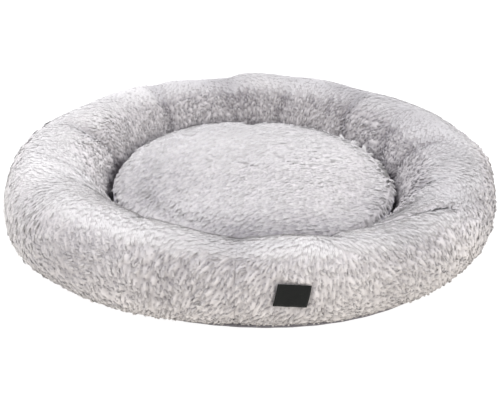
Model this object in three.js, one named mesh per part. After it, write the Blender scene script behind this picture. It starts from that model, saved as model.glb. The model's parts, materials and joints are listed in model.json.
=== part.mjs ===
// A round plush dog bed: a stuffed ring that is sewn to a flat base, and a loose cushion in its well.
// Millimetres. +Z is up, the bed stands on Z = 0, and the label is on the front, the -Y side.
// Every soft outline is drawn at one angle round the bed, as radius and height, and then turned.

import * as THREE from 'three';

const degree = Math.PI / 180;
const quarter_turn = Math.PI / 2;
const full_turn = 2 * Math.PI;

// Ring: the mean radius of its widest line, pile included, and its section
const bed_radius = 400;
const bolster_height = 124;
const bolster_width = 165;
const crest_inset = 58;
const widest_level = 57;
const wall_foot_level = 24;
const base_tuck = 48;

// Hand stuffing: how far the ring leaves a true circle, and the direction of each swell
const rim_oval = 7.6;
const rim_oval_angle = 11.6 * degree;
const rim_square = 3.6;
const rim_square_angle = 36.6 * degree;
const height_lean = 10.4;
const height_lean_angle = 202.6 * degree;
const height_oval = 6.9;
const height_oval_angle = 68.1 * degree;
const crest_oval = 8;
const crest_oval_angle = -14.9 * degree;
const well_lean = 5;
const well_lean_angle = 270 * degree;
const well_oval = 7.6;
const well_oval_angle = 101.6 * degree;
const tuck_oval = 9;
const tuck_oval_angle = 30 * degree;

// Slow bumps of about a hand's width: each row of them has a number round the ring, a lean as it goes
// over the crest, a start and a share of the depth
const bump_depth = 1.3;
const bumps = [
  { lobes: 5, lean: 70 * degree, start: 10 * degree, depth_share: 1 },
  { lobes: 7, lean: -120 * degree, start: 200 * degree, depth_share: 0.8 },
  { lobes: 9, lean: 40 * degree, start: 75 * degree, depth_share: 0.9 },
  { lobes: 11, lean: 160 * degree, start: 310 * degree, depth_share: 0.6 },
  { lobes: 14, lean: -90 * degree, start: 140 * degree, depth_share: 0.7 },
  { lobes: 17, lean: 110 * degree, start: 250 * degree, depth_share: 0.5 },
];

// Sleeve: two lengths of plush, joined by a cross seam at the back and one at the front
const sleeve_thickness = 12;
const back_seam_angle = 97.8 * degree;
const front_seam_angle = 266.5 * degree;
const seam_dip = 5;
const seam_dip_width = 11;

// Folds: the fabric is drawn together where it goes down into the well. Each fold has its place round
// the ring, a lean on its way down the slope, a share of the depth, and the way along the section
// where it starts, counted in stretches from the outer foot, so that the crest is at 2.
const fold_depth = 8;
const fold_width = 15;
const fold_onset_share = 0.35;
const folds = [
  { angle: 121 * degree, lean: 8 * degree, depth_share: 1, start_share: 1.5 },
  { angle: 158 * degree, lean: 6 * degree, depth_share: 1, start_share: 1.95 },
  { angle: 184 * degree, lean: -1 * degree, depth_share: 1, start_share: 1.95 },
  { angle: 203 * degree, lean: 12 * degree, depth_share: 0.9, start_share: 2 },
  { angle: 238 * degree, lean: -2 * degree, depth_share: 0.8, start_share: 2 },
  { angle: 292 * degree, lean: 2 * degree, depth_share: 0.8, start_share: 2 },
  { angle: 320 * degree, lean: -4 * degree, depth_share: 1, start_share: 1.85 },
  { angle: 346 * degree, lean: -3 * degree, depth_share: 0.8, start_share: 2.1 },
  { angle: 372 * degree, lean: -4 * degree, depth_share: 0.8, start_share: 1.95 },
  { angle: 392 * degree, lean: -9 * degree, depth_share: 0.9, start_share: 2.2 },
  { angle: 415 * degree, lean: -10 * degree, depth_share: 1, start_share: 1.95 },
  { angle: 439 * degree, lean: -2 * degree, depth_share: 0.8, start_share: 2.1 },
];
const relief_limit = 9;

// Flat panels, and the clearances that keep touching pieces apart
const base_thickness = 3;
const lining_thickness = 2;
const seat_gap = 0.3;
const filling_gap = 0.6;

// How finely each curve is divided
const steps_round_ring = 96;
const pile_steps = { underside: 3, outside: 4, inside: 4 };
const backing_steps = { underside: 2, outside: 3, inside: 2 };
const cushion_pile_steps = 7;
const cushion_backing_steps = 5;
const fold_step = 24;
const steps_in_pucker = 4;

// Cushion: a top and a bottom panel, sewn together at the widest line
const cushion_crown_level = 92;
const cushion_seam_level = 60;
const cushion_gap = 1.5;
const cushion_top_thickness = 10;
const cushion_bottom_thickness = 2;
const cushion_fullness = 2.8;
const cushion_notch_angle = 90.3 * degree;
const cushion_notch_depth = 8;
const cushion_notch_width = 24;
const cushion_pucker_depth = 2.5;
const pucker_fade = 8;
const cushion_puckers = 16;

// Label: a woven strip with its short ends folded under, stitched flat to the front wall
const label_length = 48;
const label_height = 31;
const label_thickness = 0.8;
const label_end_fold = 5;
const label_gap = 0.5;
const label_row_shares = [-1 / 2, -1 / 6, 1 / 6, 1 / 2];
const label_level = 74;
const label_angle = 278.1 * degree;
const label_tilt = -9 * degree;

const plush = new THREE.MeshStandardMaterial({ color: 0xd2cdd0, roughness: 0.95, metalness: 0 });
const base_cloth = new THREE.MeshStandardMaterial({ color: 0x8b888c, roughness: 0.9, metalness: 0 });
const lining_cloth = new THREE.MeshStandardMaterial({ color: 0xb9b6ba, roughness: 0.9, metalness: 0 });
const fibrefill = new THREE.MeshStandardMaterial({ color: 0xf2f1ee, roughness: 1, metalness: 0 });
const label_tape = new THREE.MeshStandardMaterial({ color: 0x1c1d1c, roughness: 0.8, metalness: 0 });

const foot_level = base_thickness + seat_gap;
const cushion_floor_level = foot_level + lining_thickness + seat_gap;

// How the ring swells and thins on its way round
const swell = (angle, size, lobes, direction) => size * Math.cos(lobes * (angle - direction));

function rimRadius(angle) {
  const oval = swell(angle, rim_oval, 2, rim_oval_angle);
  return bed_radius + oval + swell(angle, rim_square, 4, rim_square_angle);
}

function crestRadius(angle) {
  return bed_radius - crest_inset + swell(angle, crest_oval, 2, crest_oval_angle);
}

function crestHeight(angle) {
  const lean = swell(angle, height_lean, 1, height_lean_angle);
  return bolster_height + lean + swell(angle, height_oval, 2, height_oval_angle);
}

function wallRadius(angle) {
  const lean = swell(angle, well_lean, 1, well_lean_angle);
  return bed_radius - bolster_width + lean + swell(angle, well_oval, 2, well_oval_angle);
}

function baseTuck(angle) {
  return base_tuck + swell(angle, tuck_oval, 2, tuck_oval_angle);
}

// One point of the ring's section. The outline runs from the outer foot, under the widest line, over
// the crest and down the well wall, and inset moves all of it inwards.
function ringPoint(angle, stretch, share, inset) {
  const rim = rimRadius(angle) - inset;
  const crest = crestRadius(angle);
  const top = crestHeight(angle) - inset;
  const wall = wallRadius(angle) + inset;
  const sine = Math.sin(share * quarter_turn);
  const cosine = Math.cos(share * quarter_turn);
  const tuck = baseTuck(angle);
  if (stretch === 'underside') {
    return [rim - tuck + tuck * sine, widest_level - (widest_level - foot_level) * cosine];
  }
  if (stretch === 'outside') {
    return [crest + (rim - crest) * cosine, widest_level + (top - widest_level) * sine];
  }
  if (stretch === 'inside') {
    return [crest - (crest - wall) * sine, wall_foot_level + (top - wall_foot_level) * cosine];
  }
  return [wall, wall_foot_level - (wall_foot_level - foot_level) * share];
}

const stretches = ['underside', 'outside', 'inside', 'wall'];

// The stops along the outline, as [stretch, share of that stretch]
function ringStops(steps_in) {
  const stops = [];
  for (const [stretch, steps] of Object.entries(steps_in)) {
    for (let i = 0; i < steps; i++) stops.push([stretch, i / steps]);
  }
  stops.push(['wall', 0], ['wall', 1]);
  return stops;
}

const pile_stops = ringStops(pile_steps);
const backing_stops = ringStops(backing_steps);

// A dip that runs across the sleeve, deepest at one angle
function dip(angle, centre, depth, width) {
  const turn = Math.atan2(Math.sin(angle - centre), Math.cos(angle - centre));
  return depth * Math.exp(-((turn * bed_radius / width) ** 2));
}

const between = (low, value, high) => Math.min(Math.max(value, low), high);

function smoothStep(low, high, value) {
  const share = between(0, (value - low) / (high - low), 1);
  return share * share * (3 - 2 * share);
}

// How far down the inner slope a way along the section is, from 0 at the crest to 1 at the wall
const slopeShare = (way) => between(0, way - 2, 1);

// How deep the pile side lies under the smooth ring: cross seams, folds and slow bumps
function relief(angle, way) {
  let deepest = dip(angle, back_seam_angle, seam_dip, seam_dip_width)
    + dip(angle, front_seam_angle, seam_dip, seam_dip_width);
  for (const { angle: from, lean, depth_share, start_share } of folds) {
    const reach = smoothStep(start_share, start_share + fold_onset_share, way);
    const valley = from + lean * slopeShare(way);
    deepest = Math.max(deepest, reach * dip(angle, valley, fold_depth * depth_share, fold_width));
  }
  const fade = smoothStep(0.3, 0.9, way) * (1 - smoothStep(2.2, 2.6, way));
  const bump = bumps.reduce((sum, { lobes, lean, start, depth_share }) => (
    sum + depth_share * Math.cos(lobes * angle + lean * way + start)), 0);
  return Math.min(deepest + bump_depth * bump * fade, relief_limit);
}

// Turns a closed outline, given at each row, into one solid. A row is an angle, or an object whose
// outline gives an angle of its own for each point. Points on the axis become poles. A partial turn is
// closed by a flat cap at each end.
function turned(outlineAt, rows, whole_turn) {
  const rings = rows.map((row, i) => outlineAt(row, i).map(([radius, level, angle = row]) => (
    new THREE.Vector3(radius * Math.cos(angle), radius * Math.sin(angle), level))));
  const corners = [];
  const triangle = (a, b, c) => {
    if (!a.equals(b) && !b.equals(c) && !c.equals(a)) corners.push(a, b, c);
  };
  const spans = whole_turn ? rings.length : rings.length - 1;
  for (let i = 0; i < spans; i++) {
    const ring = rings[i];
    const next = rings[(i + 1) % rings.length];
    for (let j = 0; j < ring.length; j++) {
      const k = (j + 1) % ring.length;
      triangle(ring[j], next[j], next[k]);
      triangle(ring[j], next[k], ring[k]);
    }
  }
  if (!whole_turn) {
    const outline = outlineAt(rows[0], 0).map(([radius, level]) => new THREE.Vector2(radius, level));
    const area = THREE.ShapeUtils.area(outline);
    for (const face of THREE.ShapeUtils.triangulateShape(outline, [])) {
      const same_way = THREE.ShapeUtils.area(face.map((corner) => outline[corner])) * area > 0;
      const [a, b, c] = same_way ? face : face.toReversed();
      triangle(rings[0][a], rings[0][b], rings[0][c]);
      triangle(rings.at(-1)[c], rings.at(-1)[b], rings.at(-1)[a]);
    }
  }
  return facingOut(corners);
}

// Makes the geometry, with its triangles turned round if the volume comes out negative
function facingOut(corners) {
  let volume = 0;
  for (let i = 0; i < corners.length; i += 3) {
    volume += corners[i].dot(new THREE.Vector3().crossVectors(corners[i + 1], corners[i + 2]));
  }
  if (volume < 0) {
    for (let i = 0; i < corners.length; i += 3) {
      [corners[i + 1], corners[i + 2]] = [corners[i + 2], corners[i + 1]];
    }
  }
  const geometry = new THREE.BufferGeometry().setFromPoints(corners);
  geometry.computeVertexNormals();
  return geometry;
}

function anglesRound(count) {
  return Array.from({ length: count }, (_, i) => full_turn * i / count);
}

const bed = new THREE.Group();

function add(name, geometry, material) {
  const mesh = new THREE.Mesh(geometry, material);
  mesh.name = name;
  bed.add(mesh);
}

// One length of the sleeve: pile outside, backing cloth inside, open underneath where it is sewn to
// the base. Its rows of points follow the valleys of the folds, with even steps between them.
function sleeveLength(start, end) {
  const seam_turn = seat_gap / 2 / (bed_radius - bolster_width);
  const inside = folds.filter(({ angle }) => angle > start && angle < end);
  const valleys = [{ angle: start + seam_turn, lean: 0 }, ...inside, { angle: end - seam_turn, lean: 0 }];
  const rows = [valleys[0]];
  for (let i = 1; i < valleys.length; i++) {
    const [last, next] = [valleys[i - 1], valleys[i]];
    const steps = Math.round((next.angle - last.angle) * bed_radius / fold_step);
    for (let j = 1; j <= steps; j++) {
      const share = j / steps;
      rows.push({
        angle: last.angle + (next.angle - last.angle) * share,
        lean: last.lean + (next.lean - last.lean) * share,
      });
    }
  }
  return turned(({ angle, lean }) => {
    const place = (stretch, share, insetAt) => {
      const way = stretches.indexOf(stretch) + share;
      const leaning = angle + lean * slopeShare(way);
      return [...ringPoint(leaning, stretch, share, insetAt(leaning, way)), leaning];
    };
    const pile = pile_stops.map(([stretch, share]) => place(stretch, share, relief));
    const backing = backing_stops.map(([stretch, share]) => place(stretch, share, () => sleeve_thickness));
    return [...pile, ...backing.reverse()];
  }, rows, false);
}

add('sleeve_left_half', sleeveLength(back_seam_angle, front_seam_angle), plush);
add('sleeve_right_half', sleeveLength(front_seam_angle, back_seam_angle + full_turn), plush);

// The stuffing fills the sleeve down to the base panel
function bolsterFilling() {
  const inset = sleeve_thickness + filling_gap;
  return turned((angle) => backing_stops.map(([stretch, share]) => (
    ringPoint(angle, stretch, share, inset))), anglesRound(steps_round_ring), true);
}

add('bolster_filling', bolsterFilling(), fibrefill);

// A flat round panel whose edge follows a radius that changes with the angle
function flatPanel(edgeAt, bottom, thickness) {
  return turned((angle) => {
    const edge = edgeAt(angle);
    return [[0, bottom], [edge, bottom], [edge, bottom + thickness], [0, bottom + thickness]];
  }, anglesRound(steps_round_ring), true);
}

add('base_panel', flatPanel((angle) => rimRadius(angle) - baseTuck(angle), 0, base_thickness), base_cloth);
const liningEdge = (angle) => wallRadius(angle) - seat_gap;
add('floor_lining', flatPanel(liningEdge, foot_level, lining_thickness), lining_cloth);

// The well wall's radius at a height, and the cushion's edge just inside it
function wallRadiusAt(angle, level) {
  const rise_share = (level - wall_foot_level) / (crestHeight(angle) - wall_foot_level);
  const spread_share = Math.sqrt(1 - Math.max(rise_share, 0) ** 2);
  return crestRadius(angle) - (crestRadius(angle) - wallRadius(angle)) * spread_share;
}

function cushionEdge(angle) {
  const notch = dip(angle, cushion_notch_angle, cushion_notch_depth, cushion_notch_width);
  return wallRadiusAt(angle, cushion_seam_level) - cushion_gap - notch;
}

// Half of the cushion's section, from the axis out to its seam. Height is positive for the crowned
// top and negative for the underside, and fullness squares the curve's shoulder.
function cushionCurve(edge, height, seam_level, steps) {
  return Array.from({ length: steps + 1 }, (_, i) => {
    const turn = quarter_turn * i / steps;
    const out_share = i === 0 ? 0 : Math.sin(turn) ** (2 / cushion_fullness);
    const up_share = i === steps ? 0 : Math.cos(turn) ** (2 / cushion_fullness);
    return [edge * out_share, seam_level + height * up_share];
  });
}

// The seam puckers the edge of the plush
function puckered([radius, level], edge, index) {
  const pucker = cushion_pucker_depth * (1 - Math.cos(full_turn * index / steps_in_pucker)) / 2;
  return [radius - pucker * (radius / edge) ** pucker_fade, level];
}

const cushion_angles = anglesRound(cushion_puckers * steps_in_pucker);
const crown_height = cushion_crown_level - cushion_seam_level;
const belly_depth = cushion_seam_level - cushion_floor_level;

function cushionTopPanel() {
  const seam_level = cushion_seam_level + seat_gap;
  return turned((angle, i) => {
    const edge = cushionEdge(angle);
    const pile = cushionCurve(edge, crown_height - seat_gap, seam_level, cushion_pile_steps);
    const inner_height = crown_height - seat_gap - cushion_top_thickness;
    const inner_edge = edge - cushion_top_thickness;
    const backing = cushionCurve(inner_edge, inner_height, seam_level, cushion_backing_steps);
    return [...pile.map((point) => puckered(point, edge, i)), ...backing.reverse()];
  }, cushion_angles, true);
}

function cushionBottomPanel() {
  return turned((angle) => {
    const edge = cushionEdge(angle) - cushion_pucker_depth;
    const inner_edge = edge - cushion_bottom_thickness;
    const inner_depth = belly_depth - cushion_bottom_thickness;
    const outer = cushionCurve(edge, -belly_depth, cushion_seam_level, cushion_backing_steps);
    const inner = cushionCurve(inner_edge, -inner_depth, cushion_seam_level, cushion_backing_steps);
    return [...outer, ...inner.reverse()];
  }, cushion_angles, true);
}

function cushionFilling() {
  return turned((angle) => {
    const edge = cushionEdge(angle) - cushion_top_thickness - filling_gap;
    const top_height = crown_height - cushion_top_thickness - filling_gap;
    const top = cushionCurve(edge, top_height, cushion_seam_level, cushion_backing_steps);
    const depth = belly_depth - cushion_bottom_thickness - filling_gap;
    const bottom = cushionCurve(edge, -depth, cushion_seam_level, cushion_backing_steps);
    return [...top.slice(0, -1), ...bottom.reverse()];
  }, cushion_angles, true);
}

add('cushion_top_panel', cushionTopPanel(), plush);
add('cushion_bottom_panel', cushionBottomPanel(), lining_cloth);
add('cushion_filling', cushionFilling(), fibrefill);

// The front wall's radius at a height, near its widest line
function outerRadiusAt(angle, level) {
  const rim = rimRadius(angle);
  const above = level > widest_level;
  const reach = above ? rim - crestRadius(angle) : baseTuck(angle);
  const climb = above ? crestHeight(angle) - widest_level : widest_level - foot_level;
  return rim - reach + reach * Math.sqrt(1 - ((level - widest_level) / climb) ** 2);
}

// The label lies on the curved wall. Its grid runs along the wall and up it, turned by the tilt.
function wovenLabel() {
  const half_length = label_length / 2;
  const flat_half = half_length - label_end_fold;
  const columns = [-half_length, -flat_half, -flat_half, 0, flat_half, flat_half, half_length];
  const layers = [2, 2, 1, 1, 1, 2, 2];
  const rows = label_row_shares.map((share) => share * label_height);
  const place = (along, up, out) => {
    const arc = along * Math.cos(label_tilt) - up * Math.sin(label_tilt);
    const level = label_level + along * Math.sin(label_tilt) + up * Math.cos(label_tilt);
    const angle = label_angle + arc / bed_radius;
    const radius = outerRadiusAt(angle, level) + out;
    return new THREE.Vector3(radius * Math.cos(angle), radius * Math.sin(angle), level);
  };
  const face = label_gap + 2 * label_thickness;
  const front = columns.map((along) => rows.map((up) => place(along, up, face)));
  const back = columns.map((along, i) => rows.map((up) => (
    place(along, up, face - layers[i] * label_thickness))));
  const rings = columns.map((_, i) => [...front[i], ...back[i].reverse()]);
  const corners = [];
  for (let i = 0; i < rings.length - 1; i++) {
    for (let j = 0; j < rings[i].length; j++) {
      const k = (j + 1) % rings[i].length;
      corners.push(rings[i][j], rings[i + 1][j], rings[i + 1][k]);
      corners.push(rings[i][j], rings[i + 1][k], rings[i][k]);
    }
  }
  for (const [ring, turn] of [[rings[0], 1], [rings.at(-1), -1]]) {
    for (let j = 0; j < rows.length - 1; j++) {
      const [a, b, c, d] = [ring[j], ring[j + 1], ring.at(-2 - j), ring.at(-1 - j)];
      corners.push(...(turn > 0 ? [a, b, c, a, c, d] : [a, c, b, a, d, c]));
    }
  }
  return facingOut(corners);
}

add('woven_label', wovenLabel(), label_tape);

export default bed;
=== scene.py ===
# %% [markdown]
# A round plush dog bed, about 80 cm across. A stuffed ring, the bolster, is sewn to a flat base, and a
# loose cushion lies in its well. Everything is in metres, with the bed's middle at the origin, +Z up
# and the label on the -Y side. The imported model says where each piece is, and this script dresses it:
# padded forms, a pile of real fibres, cloth, a bare woven label, soft light and a camera.

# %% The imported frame
import json
import math

import bpy
import numpy as np
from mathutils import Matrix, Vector
from mathutils.bvhtree import BVHTree
from mathutils.kdtree import KDTree
from mathutils.noise import noise_vector, seed_set

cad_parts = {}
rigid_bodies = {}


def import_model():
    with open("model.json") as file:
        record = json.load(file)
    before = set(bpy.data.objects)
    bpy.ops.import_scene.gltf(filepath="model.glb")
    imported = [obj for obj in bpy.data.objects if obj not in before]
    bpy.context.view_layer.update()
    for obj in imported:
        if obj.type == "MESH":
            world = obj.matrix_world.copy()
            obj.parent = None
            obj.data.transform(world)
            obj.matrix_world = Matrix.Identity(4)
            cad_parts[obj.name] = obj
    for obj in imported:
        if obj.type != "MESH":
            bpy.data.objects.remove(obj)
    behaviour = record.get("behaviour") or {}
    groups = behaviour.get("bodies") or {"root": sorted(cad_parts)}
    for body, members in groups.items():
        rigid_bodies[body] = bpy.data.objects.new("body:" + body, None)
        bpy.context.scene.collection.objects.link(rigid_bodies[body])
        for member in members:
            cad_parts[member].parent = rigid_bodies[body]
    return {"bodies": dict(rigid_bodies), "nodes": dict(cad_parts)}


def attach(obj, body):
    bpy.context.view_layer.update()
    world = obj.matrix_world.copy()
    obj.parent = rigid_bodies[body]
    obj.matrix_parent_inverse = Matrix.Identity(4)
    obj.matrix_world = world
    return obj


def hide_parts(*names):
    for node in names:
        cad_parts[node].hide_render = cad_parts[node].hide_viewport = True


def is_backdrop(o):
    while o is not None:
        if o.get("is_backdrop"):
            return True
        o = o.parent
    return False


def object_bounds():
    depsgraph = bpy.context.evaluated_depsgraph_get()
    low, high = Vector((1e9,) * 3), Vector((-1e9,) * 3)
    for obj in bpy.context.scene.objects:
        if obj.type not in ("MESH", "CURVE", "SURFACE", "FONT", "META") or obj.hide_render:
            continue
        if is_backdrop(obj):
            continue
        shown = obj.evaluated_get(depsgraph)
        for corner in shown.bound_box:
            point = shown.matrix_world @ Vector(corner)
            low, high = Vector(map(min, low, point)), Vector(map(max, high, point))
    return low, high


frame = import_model()
CAD_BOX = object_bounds()
print("bodies", sorted(frame["bodies"]), "nodes", sorted(frame["nodes"]))

# %% [markdown]
# The bolster is a ring whose section changes on the way round, because it was stuffed by hand. These
# sizes are the pattern's: the mean radius of the widest line, the height of the crest, the width from
# the widest line in to the well's wall, and how far each of them swells towards one direction. One
# swell is a cosine with a size, a number of lobes and a direction in degrees.

# %% The ring's driving sizes
MM = 0.001
BED_RADIUS = 400 * MM
BOLSTER_HEIGHT = 124 * MM
BOLSTER_WIDTH = 165 * MM
CREST_INSET = 58 * MM
WIDEST_LEVEL = 57 * MM
WALL_FOOT_LEVEL = 24 * MM
BASE_TUCK = 48 * MM
FOOT_LEVEL = 3.3 * MM
FLOOR_LEVEL = 5.6 * MM
BACK_SEAM = math.radians(97.8)
FRONT_SEAM = math.radians(266.5)
# Each row of a table of swells is a size, a number of lobes and a direction in degrees.
RIM_SWELLS = [(7.6 * MM, 2, 11.6), (3.6 * MM, 4, 36.6)]
CREST_SWELLS = [(8 * MM, 2, -14.9)]
HEIGHT_SWELLS = [(10.4 * MM, 1, 202.6), (6.9 * MM, 2, 68.1)]
WALL_SWELLS = [(5 * MM, 1, 270), (7.6 * MM, 2, 101.6)]
TUCK_SWELLS = [(9 * MM, 2, 30)]


def swollen(size, swells, angle):
    """A size at an angle, with its swells."""
    for extent, lobes, direction in swells:
        size = size + extent * np.cos(lobes * (angle - math.radians(direction)))
    return size


def rim_radius(angle):
    return swollen(BED_RADIUS, RIM_SWELLS, angle)


def crest_radius(angle):
    return swollen(BED_RADIUS - CREST_INSET, CREST_SWELLS, angle)


def crest_height(angle):
    return swollen(BOLSTER_HEIGHT, HEIGHT_SWELLS, angle)


def wall_radius(angle):
    return swollen(BED_RADIUS - BOLSTER_WIDTH, WALL_SWELLS, angle)


def base_tuck(angle):
    return swollen(BASE_TUCK, TUCK_SWELLS, angle)


print("crest", round(crest_height(0.0) / MM), "mm high on the right")


# %% [markdown]
# A point of the section is found by its way, a number that runs from 0 at the outer foot, through 1
# at the widest line and 2 at the crest, to 3 where the slope meets the well's upright wall, and on
# towards 4 down that wall. The first three are quarters of an ellipse, so the outline is smooth where
# they meet. Drawing the outline in by a depth gives the backing cloth under the pile.


# %% The ring's section
def ring_section(angle, way, depth):
    """Radius and height at a way along the section, drawn in by depth."""
    rim, crest = rim_radius(angle) - depth, crest_radius(angle)
    top, wall = crest_height(angle) - depth, wall_radius(angle) + depth
    turn = np.clip(way - np.clip(np.floor(way), 0, 2), 0, 1) * math.pi / 2
    sine, cosine = np.sin(turn), np.cos(turn)
    tuck = base_tuck(angle)
    under = (rim - tuck + tuck * sine, WIDEST_LEVEL - (WIDEST_LEVEL - FOOT_LEVEL) * cosine)
    outside = (crest + (rim - crest) * cosine, WIDEST_LEVEL + (top - WIDEST_LEVEL) * sine)
    inside = (crest - (crest - wall) * sine, WALL_FOOT_LEVEL + (top - WALL_FOOT_LEVEL) * cosine)
    radius = np.where(way < 1, under[0], np.where(way < 2, outside[0], inside[0]))
    level = np.where(way < 1, under[1], np.where(way < 2, outside[1], inside[1]))
    return radius, np.where(way > 3, WALL_FOOT_LEVEL * (4 - way), level)


def around(radius, angle, level):
    """Points at a radius, an angle and a height, as rows of x, y and z."""
    return np.stack(np.broadcast_arrays(radius * np.cos(angle), radius * np.sin(angle), level), -1)


# %% [markdown]
# Real stuffing is never even. The sleeve has folds where its fabric is drawn down into the well, a dent
# along each cross seam, small gathers at the wall's foot, and slow bumps of about a hand's width. Each
# fold is a valley along a line across the sleeve, so a short table with one row for each fold is the
# clearest way to write them down.

# %% Folds, gathers and bumps
FOLD_DEPTH = 8 * MM
FOLD_WIDTH = 18 * MM
FOLD_ONSET = 0.35
FOLD_WOBBLE = 1.6
FOLD_WOBBLES = 6
FOLDS = [
    # angle, lean on the way down the slope, share of the depth, way where it starts
    (121, 8, 1.0, 1.5), (158, 6, 1.2, 1.95), (183, 22, 0.6, 1.95), (193, 45, 0.3, 1.95),
    (238, -2, 0.8, 2.0), (292, 2, 0.8, 2.0), (328, -55, 1.0, 1.75), (346, -3, 0.8, 2.1),
    (12, -4, 0.8, 1.95), (32, -9, 0.9, 2.2), (55, -10, 1.0, 1.95), (79, -2, 0.8, 2.1),
]
SEAM_DIP = 2.5 * MM
SEAM_DIP_WIDTH = 20 * MM
GATHERS = 46
GATHER_DEPTH = 3 * MM
GATHER_WAYS = (2.3, 3)
BUMP_DEPTH = 1.3 * MM
BUMP_WAYS = ((0.3, 0.9), (2.2, 2.6))
BUMPS = [
    # number round the ring, lean from foot to crest, start, share of the depth
    (5, 70, 10, 1.0), (7, -120, 200, 0.8), (9, 40, 75, 0.9),
    (11, 160, 310, 0.6), (14, -90, 140, 0.7), (17, 110, 250, 0.5),
]
SLEEVE_LOWEST = FLOOR_LEVEL - 3 * MM


def smooth_step(low, high, x):
    share = np.clip((x - low) / (high - low), 0, 1)
    return share * share * (3 - 2 * share)


def band(rise, fall, x):
    """1 between two soft edges, each of which is given by where it starts and ends."""
    return smooth_step(*rise, x) * (1 - smooth_step(*fall, x))


def turn_from(centre, angle):
    """The turn from a centre to an angle, the shorter way round."""
    return np.arctan2(np.sin(angle - centre), np.cos(angle - centre))


def dip(angle, centre, depth, width):
    """A valley across the sleeve, deepest at one angle."""
    return depth * np.exp(-(turn_from(centre, angle) * BED_RADIUS / width)**2)


def press_in(angle, way):
    """How far the seams, folds, gathers and bumps press the sleeve in."""
    seams = sum(dip(angle, seam, SEAM_DIP, SEAM_DIP_WIDTH) for seam in (BACK_SEAM, FRONT_SEAM))
    gathers = GATHER_DEPTH * (1 - np.cos(GATHERS * angle)) / 2 * smooth_step(*GATHER_WAYS, way)
    deepest = np.maximum(seams, gathers)
    for start, lean, deep, onset in FOLDS:
        wobble = FOLD_WOBBLE * np.sin(FOLD_WOBBLES * way + start)
        valley = np.radians(start + lean * np.clip(way - 2, 0, 1) + wobble)
        reach = smooth_step(onset, onset + FOLD_ONSET, way)
        deepest = np.maximum(deepest, reach * dip(angle, valley, FOLD_DEPTH * deep, FOLD_WIDTH))
    bump = sum(deep * np.cos(count * angle + np.radians(lean) * way + np.radians(start))
               for count, lean, start, deep in BUMPS)
    return deepest + BUMP_DEPTH * bump * band(*BUMP_WAYS, way)


def ring_place(angle, way, depth):
    """A point of the sleeve with its folds and bumps, at a depth under the tips of the pile."""
    radius, level = ring_section(angle, way, depth + press_in(angle, way))
    return around(radius, angle, np.maximum(level, SLEEVE_LOWEST))


# %% [markdown]
# Most forms here are grids of points, joined by quads. One helper makes the quads, one makes a shell
# with a thickness from an outer and an inner grid, and one fills the middle of a round grid, so that no
# piece is left open. Cloth with a thickness catches light at its edges, where a bare surface would not.


# %% Mesh helpers
def grid_faces(rows, columns, ring_rows=False, ring_columns=False):
    """Quads between a grid's points, wrapped round in a direction that is a ring."""
    row, column = np.meshgrid(
        np.arange(rows if ring_rows else rows - 1),
        np.arange(columns if ring_columns else columns - 1), indexing="ij")
    next_row, next_column = (row + 1) % rows, (column + 1) % columns
    corners = [row * columns + column, next_row * columns + column,
               next_row * columns + next_column, row * columns + next_column]
    return np.stack(corners, -1).reshape(-1, 4).tolist()


def new_object(name, points, faces):
    """A smooth-shaded object at the origin, from points and faces."""
    mesh = bpy.data.meshes.new(name)
    mesh.from_pydata(np.reshape(points, (-1, 3)).tolist(), [], faces)
    mesh.polygons.foreach_set("use_smooth", [True] * len(mesh.polygons))
    mesh.update()
    piece = bpy.data.objects.new(name, mesh)
    bpy.context.scene.collection.objects.link(piece)
    return piece


def half_ring_shell(name, outer, inner, columns):
    """A strip of the ring with a thickness. The inner grid has only some of the outer one's columns."""
    loop = np.concatenate([outer, inner[:, ::-1]], 1)
    faces = grid_faces(*loop.shape[:2], ring_columns=True)
    last = (len(loop) - 1) * loop.shape[1]
    for k in range(len(columns) - 1):
        far = loop.shape[1] - 1 - k
        cap = list(range(columns[k], columns[k + 1] + 1)) + [far - 1, far]
        faces.append(cap)
        faces.append([last + corner for corner in reversed(cap)])
    return new_object(name, loop, faces)


def round_shell(name, outer, inner):
    """A round piece from two grids of spokes that start on the axis: outer faces up, inner down."""
    loop = np.concatenate([outer[:, 1:], inner[:, :0:-1]], 1)
    rows, columns = loop.shape[:2]
    faces = [face[::-1] for face in grid_faces(rows, columns, ring_rows=True)]
    poles = np.stack([outer[:, 0].mean(0), inner[:, 0].mean(0)])
    for i in range(rows):
        here, after = i * columns, (i + 1) % rows * columns
        faces.append([rows * columns, here, after])
        faces.append([rows * columns + 1, after + columns - 1, here + columns - 1])
    return new_object(name, np.concatenate([loop.reshape(-1, 3), poles]), faces)


def vertex_places(mesh):
    places = np.zeros(len(mesh.vertices) * 3)
    mesh.vertices.foreach_get("co", places)
    return places.reshape(-1, 3)


def evaluated_mesh(piece):
    """The mesh that an object's modifiers make."""
    depsgraph = bpy.context.evaluated_depsgraph_get()
    seen = piece.evaluated_get(depsgraph)
    return bpy.data.meshes.new_from_object(seen, preserve_all_data_layers=True, depsgraph=depsgraph)


# %% [markdown]
# Stuffing and tension give cloth its last few millimetres of shape, so both padded forms go through a
# short cloth simulation: the form is remeshed evenly, blown up from inside with gravity off, and may
# move only as far as a cap. The pieces are then drawn to that result along their own normals, which
# keeps their tidy grids.

# %% Cloth simulation
SIM_FRAMES = 20
SIM_PRESSURE = 1.2
SMOOTHING = 6
VOXEL = 6 * MM
TINY = 1e-4
LEAST_LENGTH = 1e-12


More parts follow.
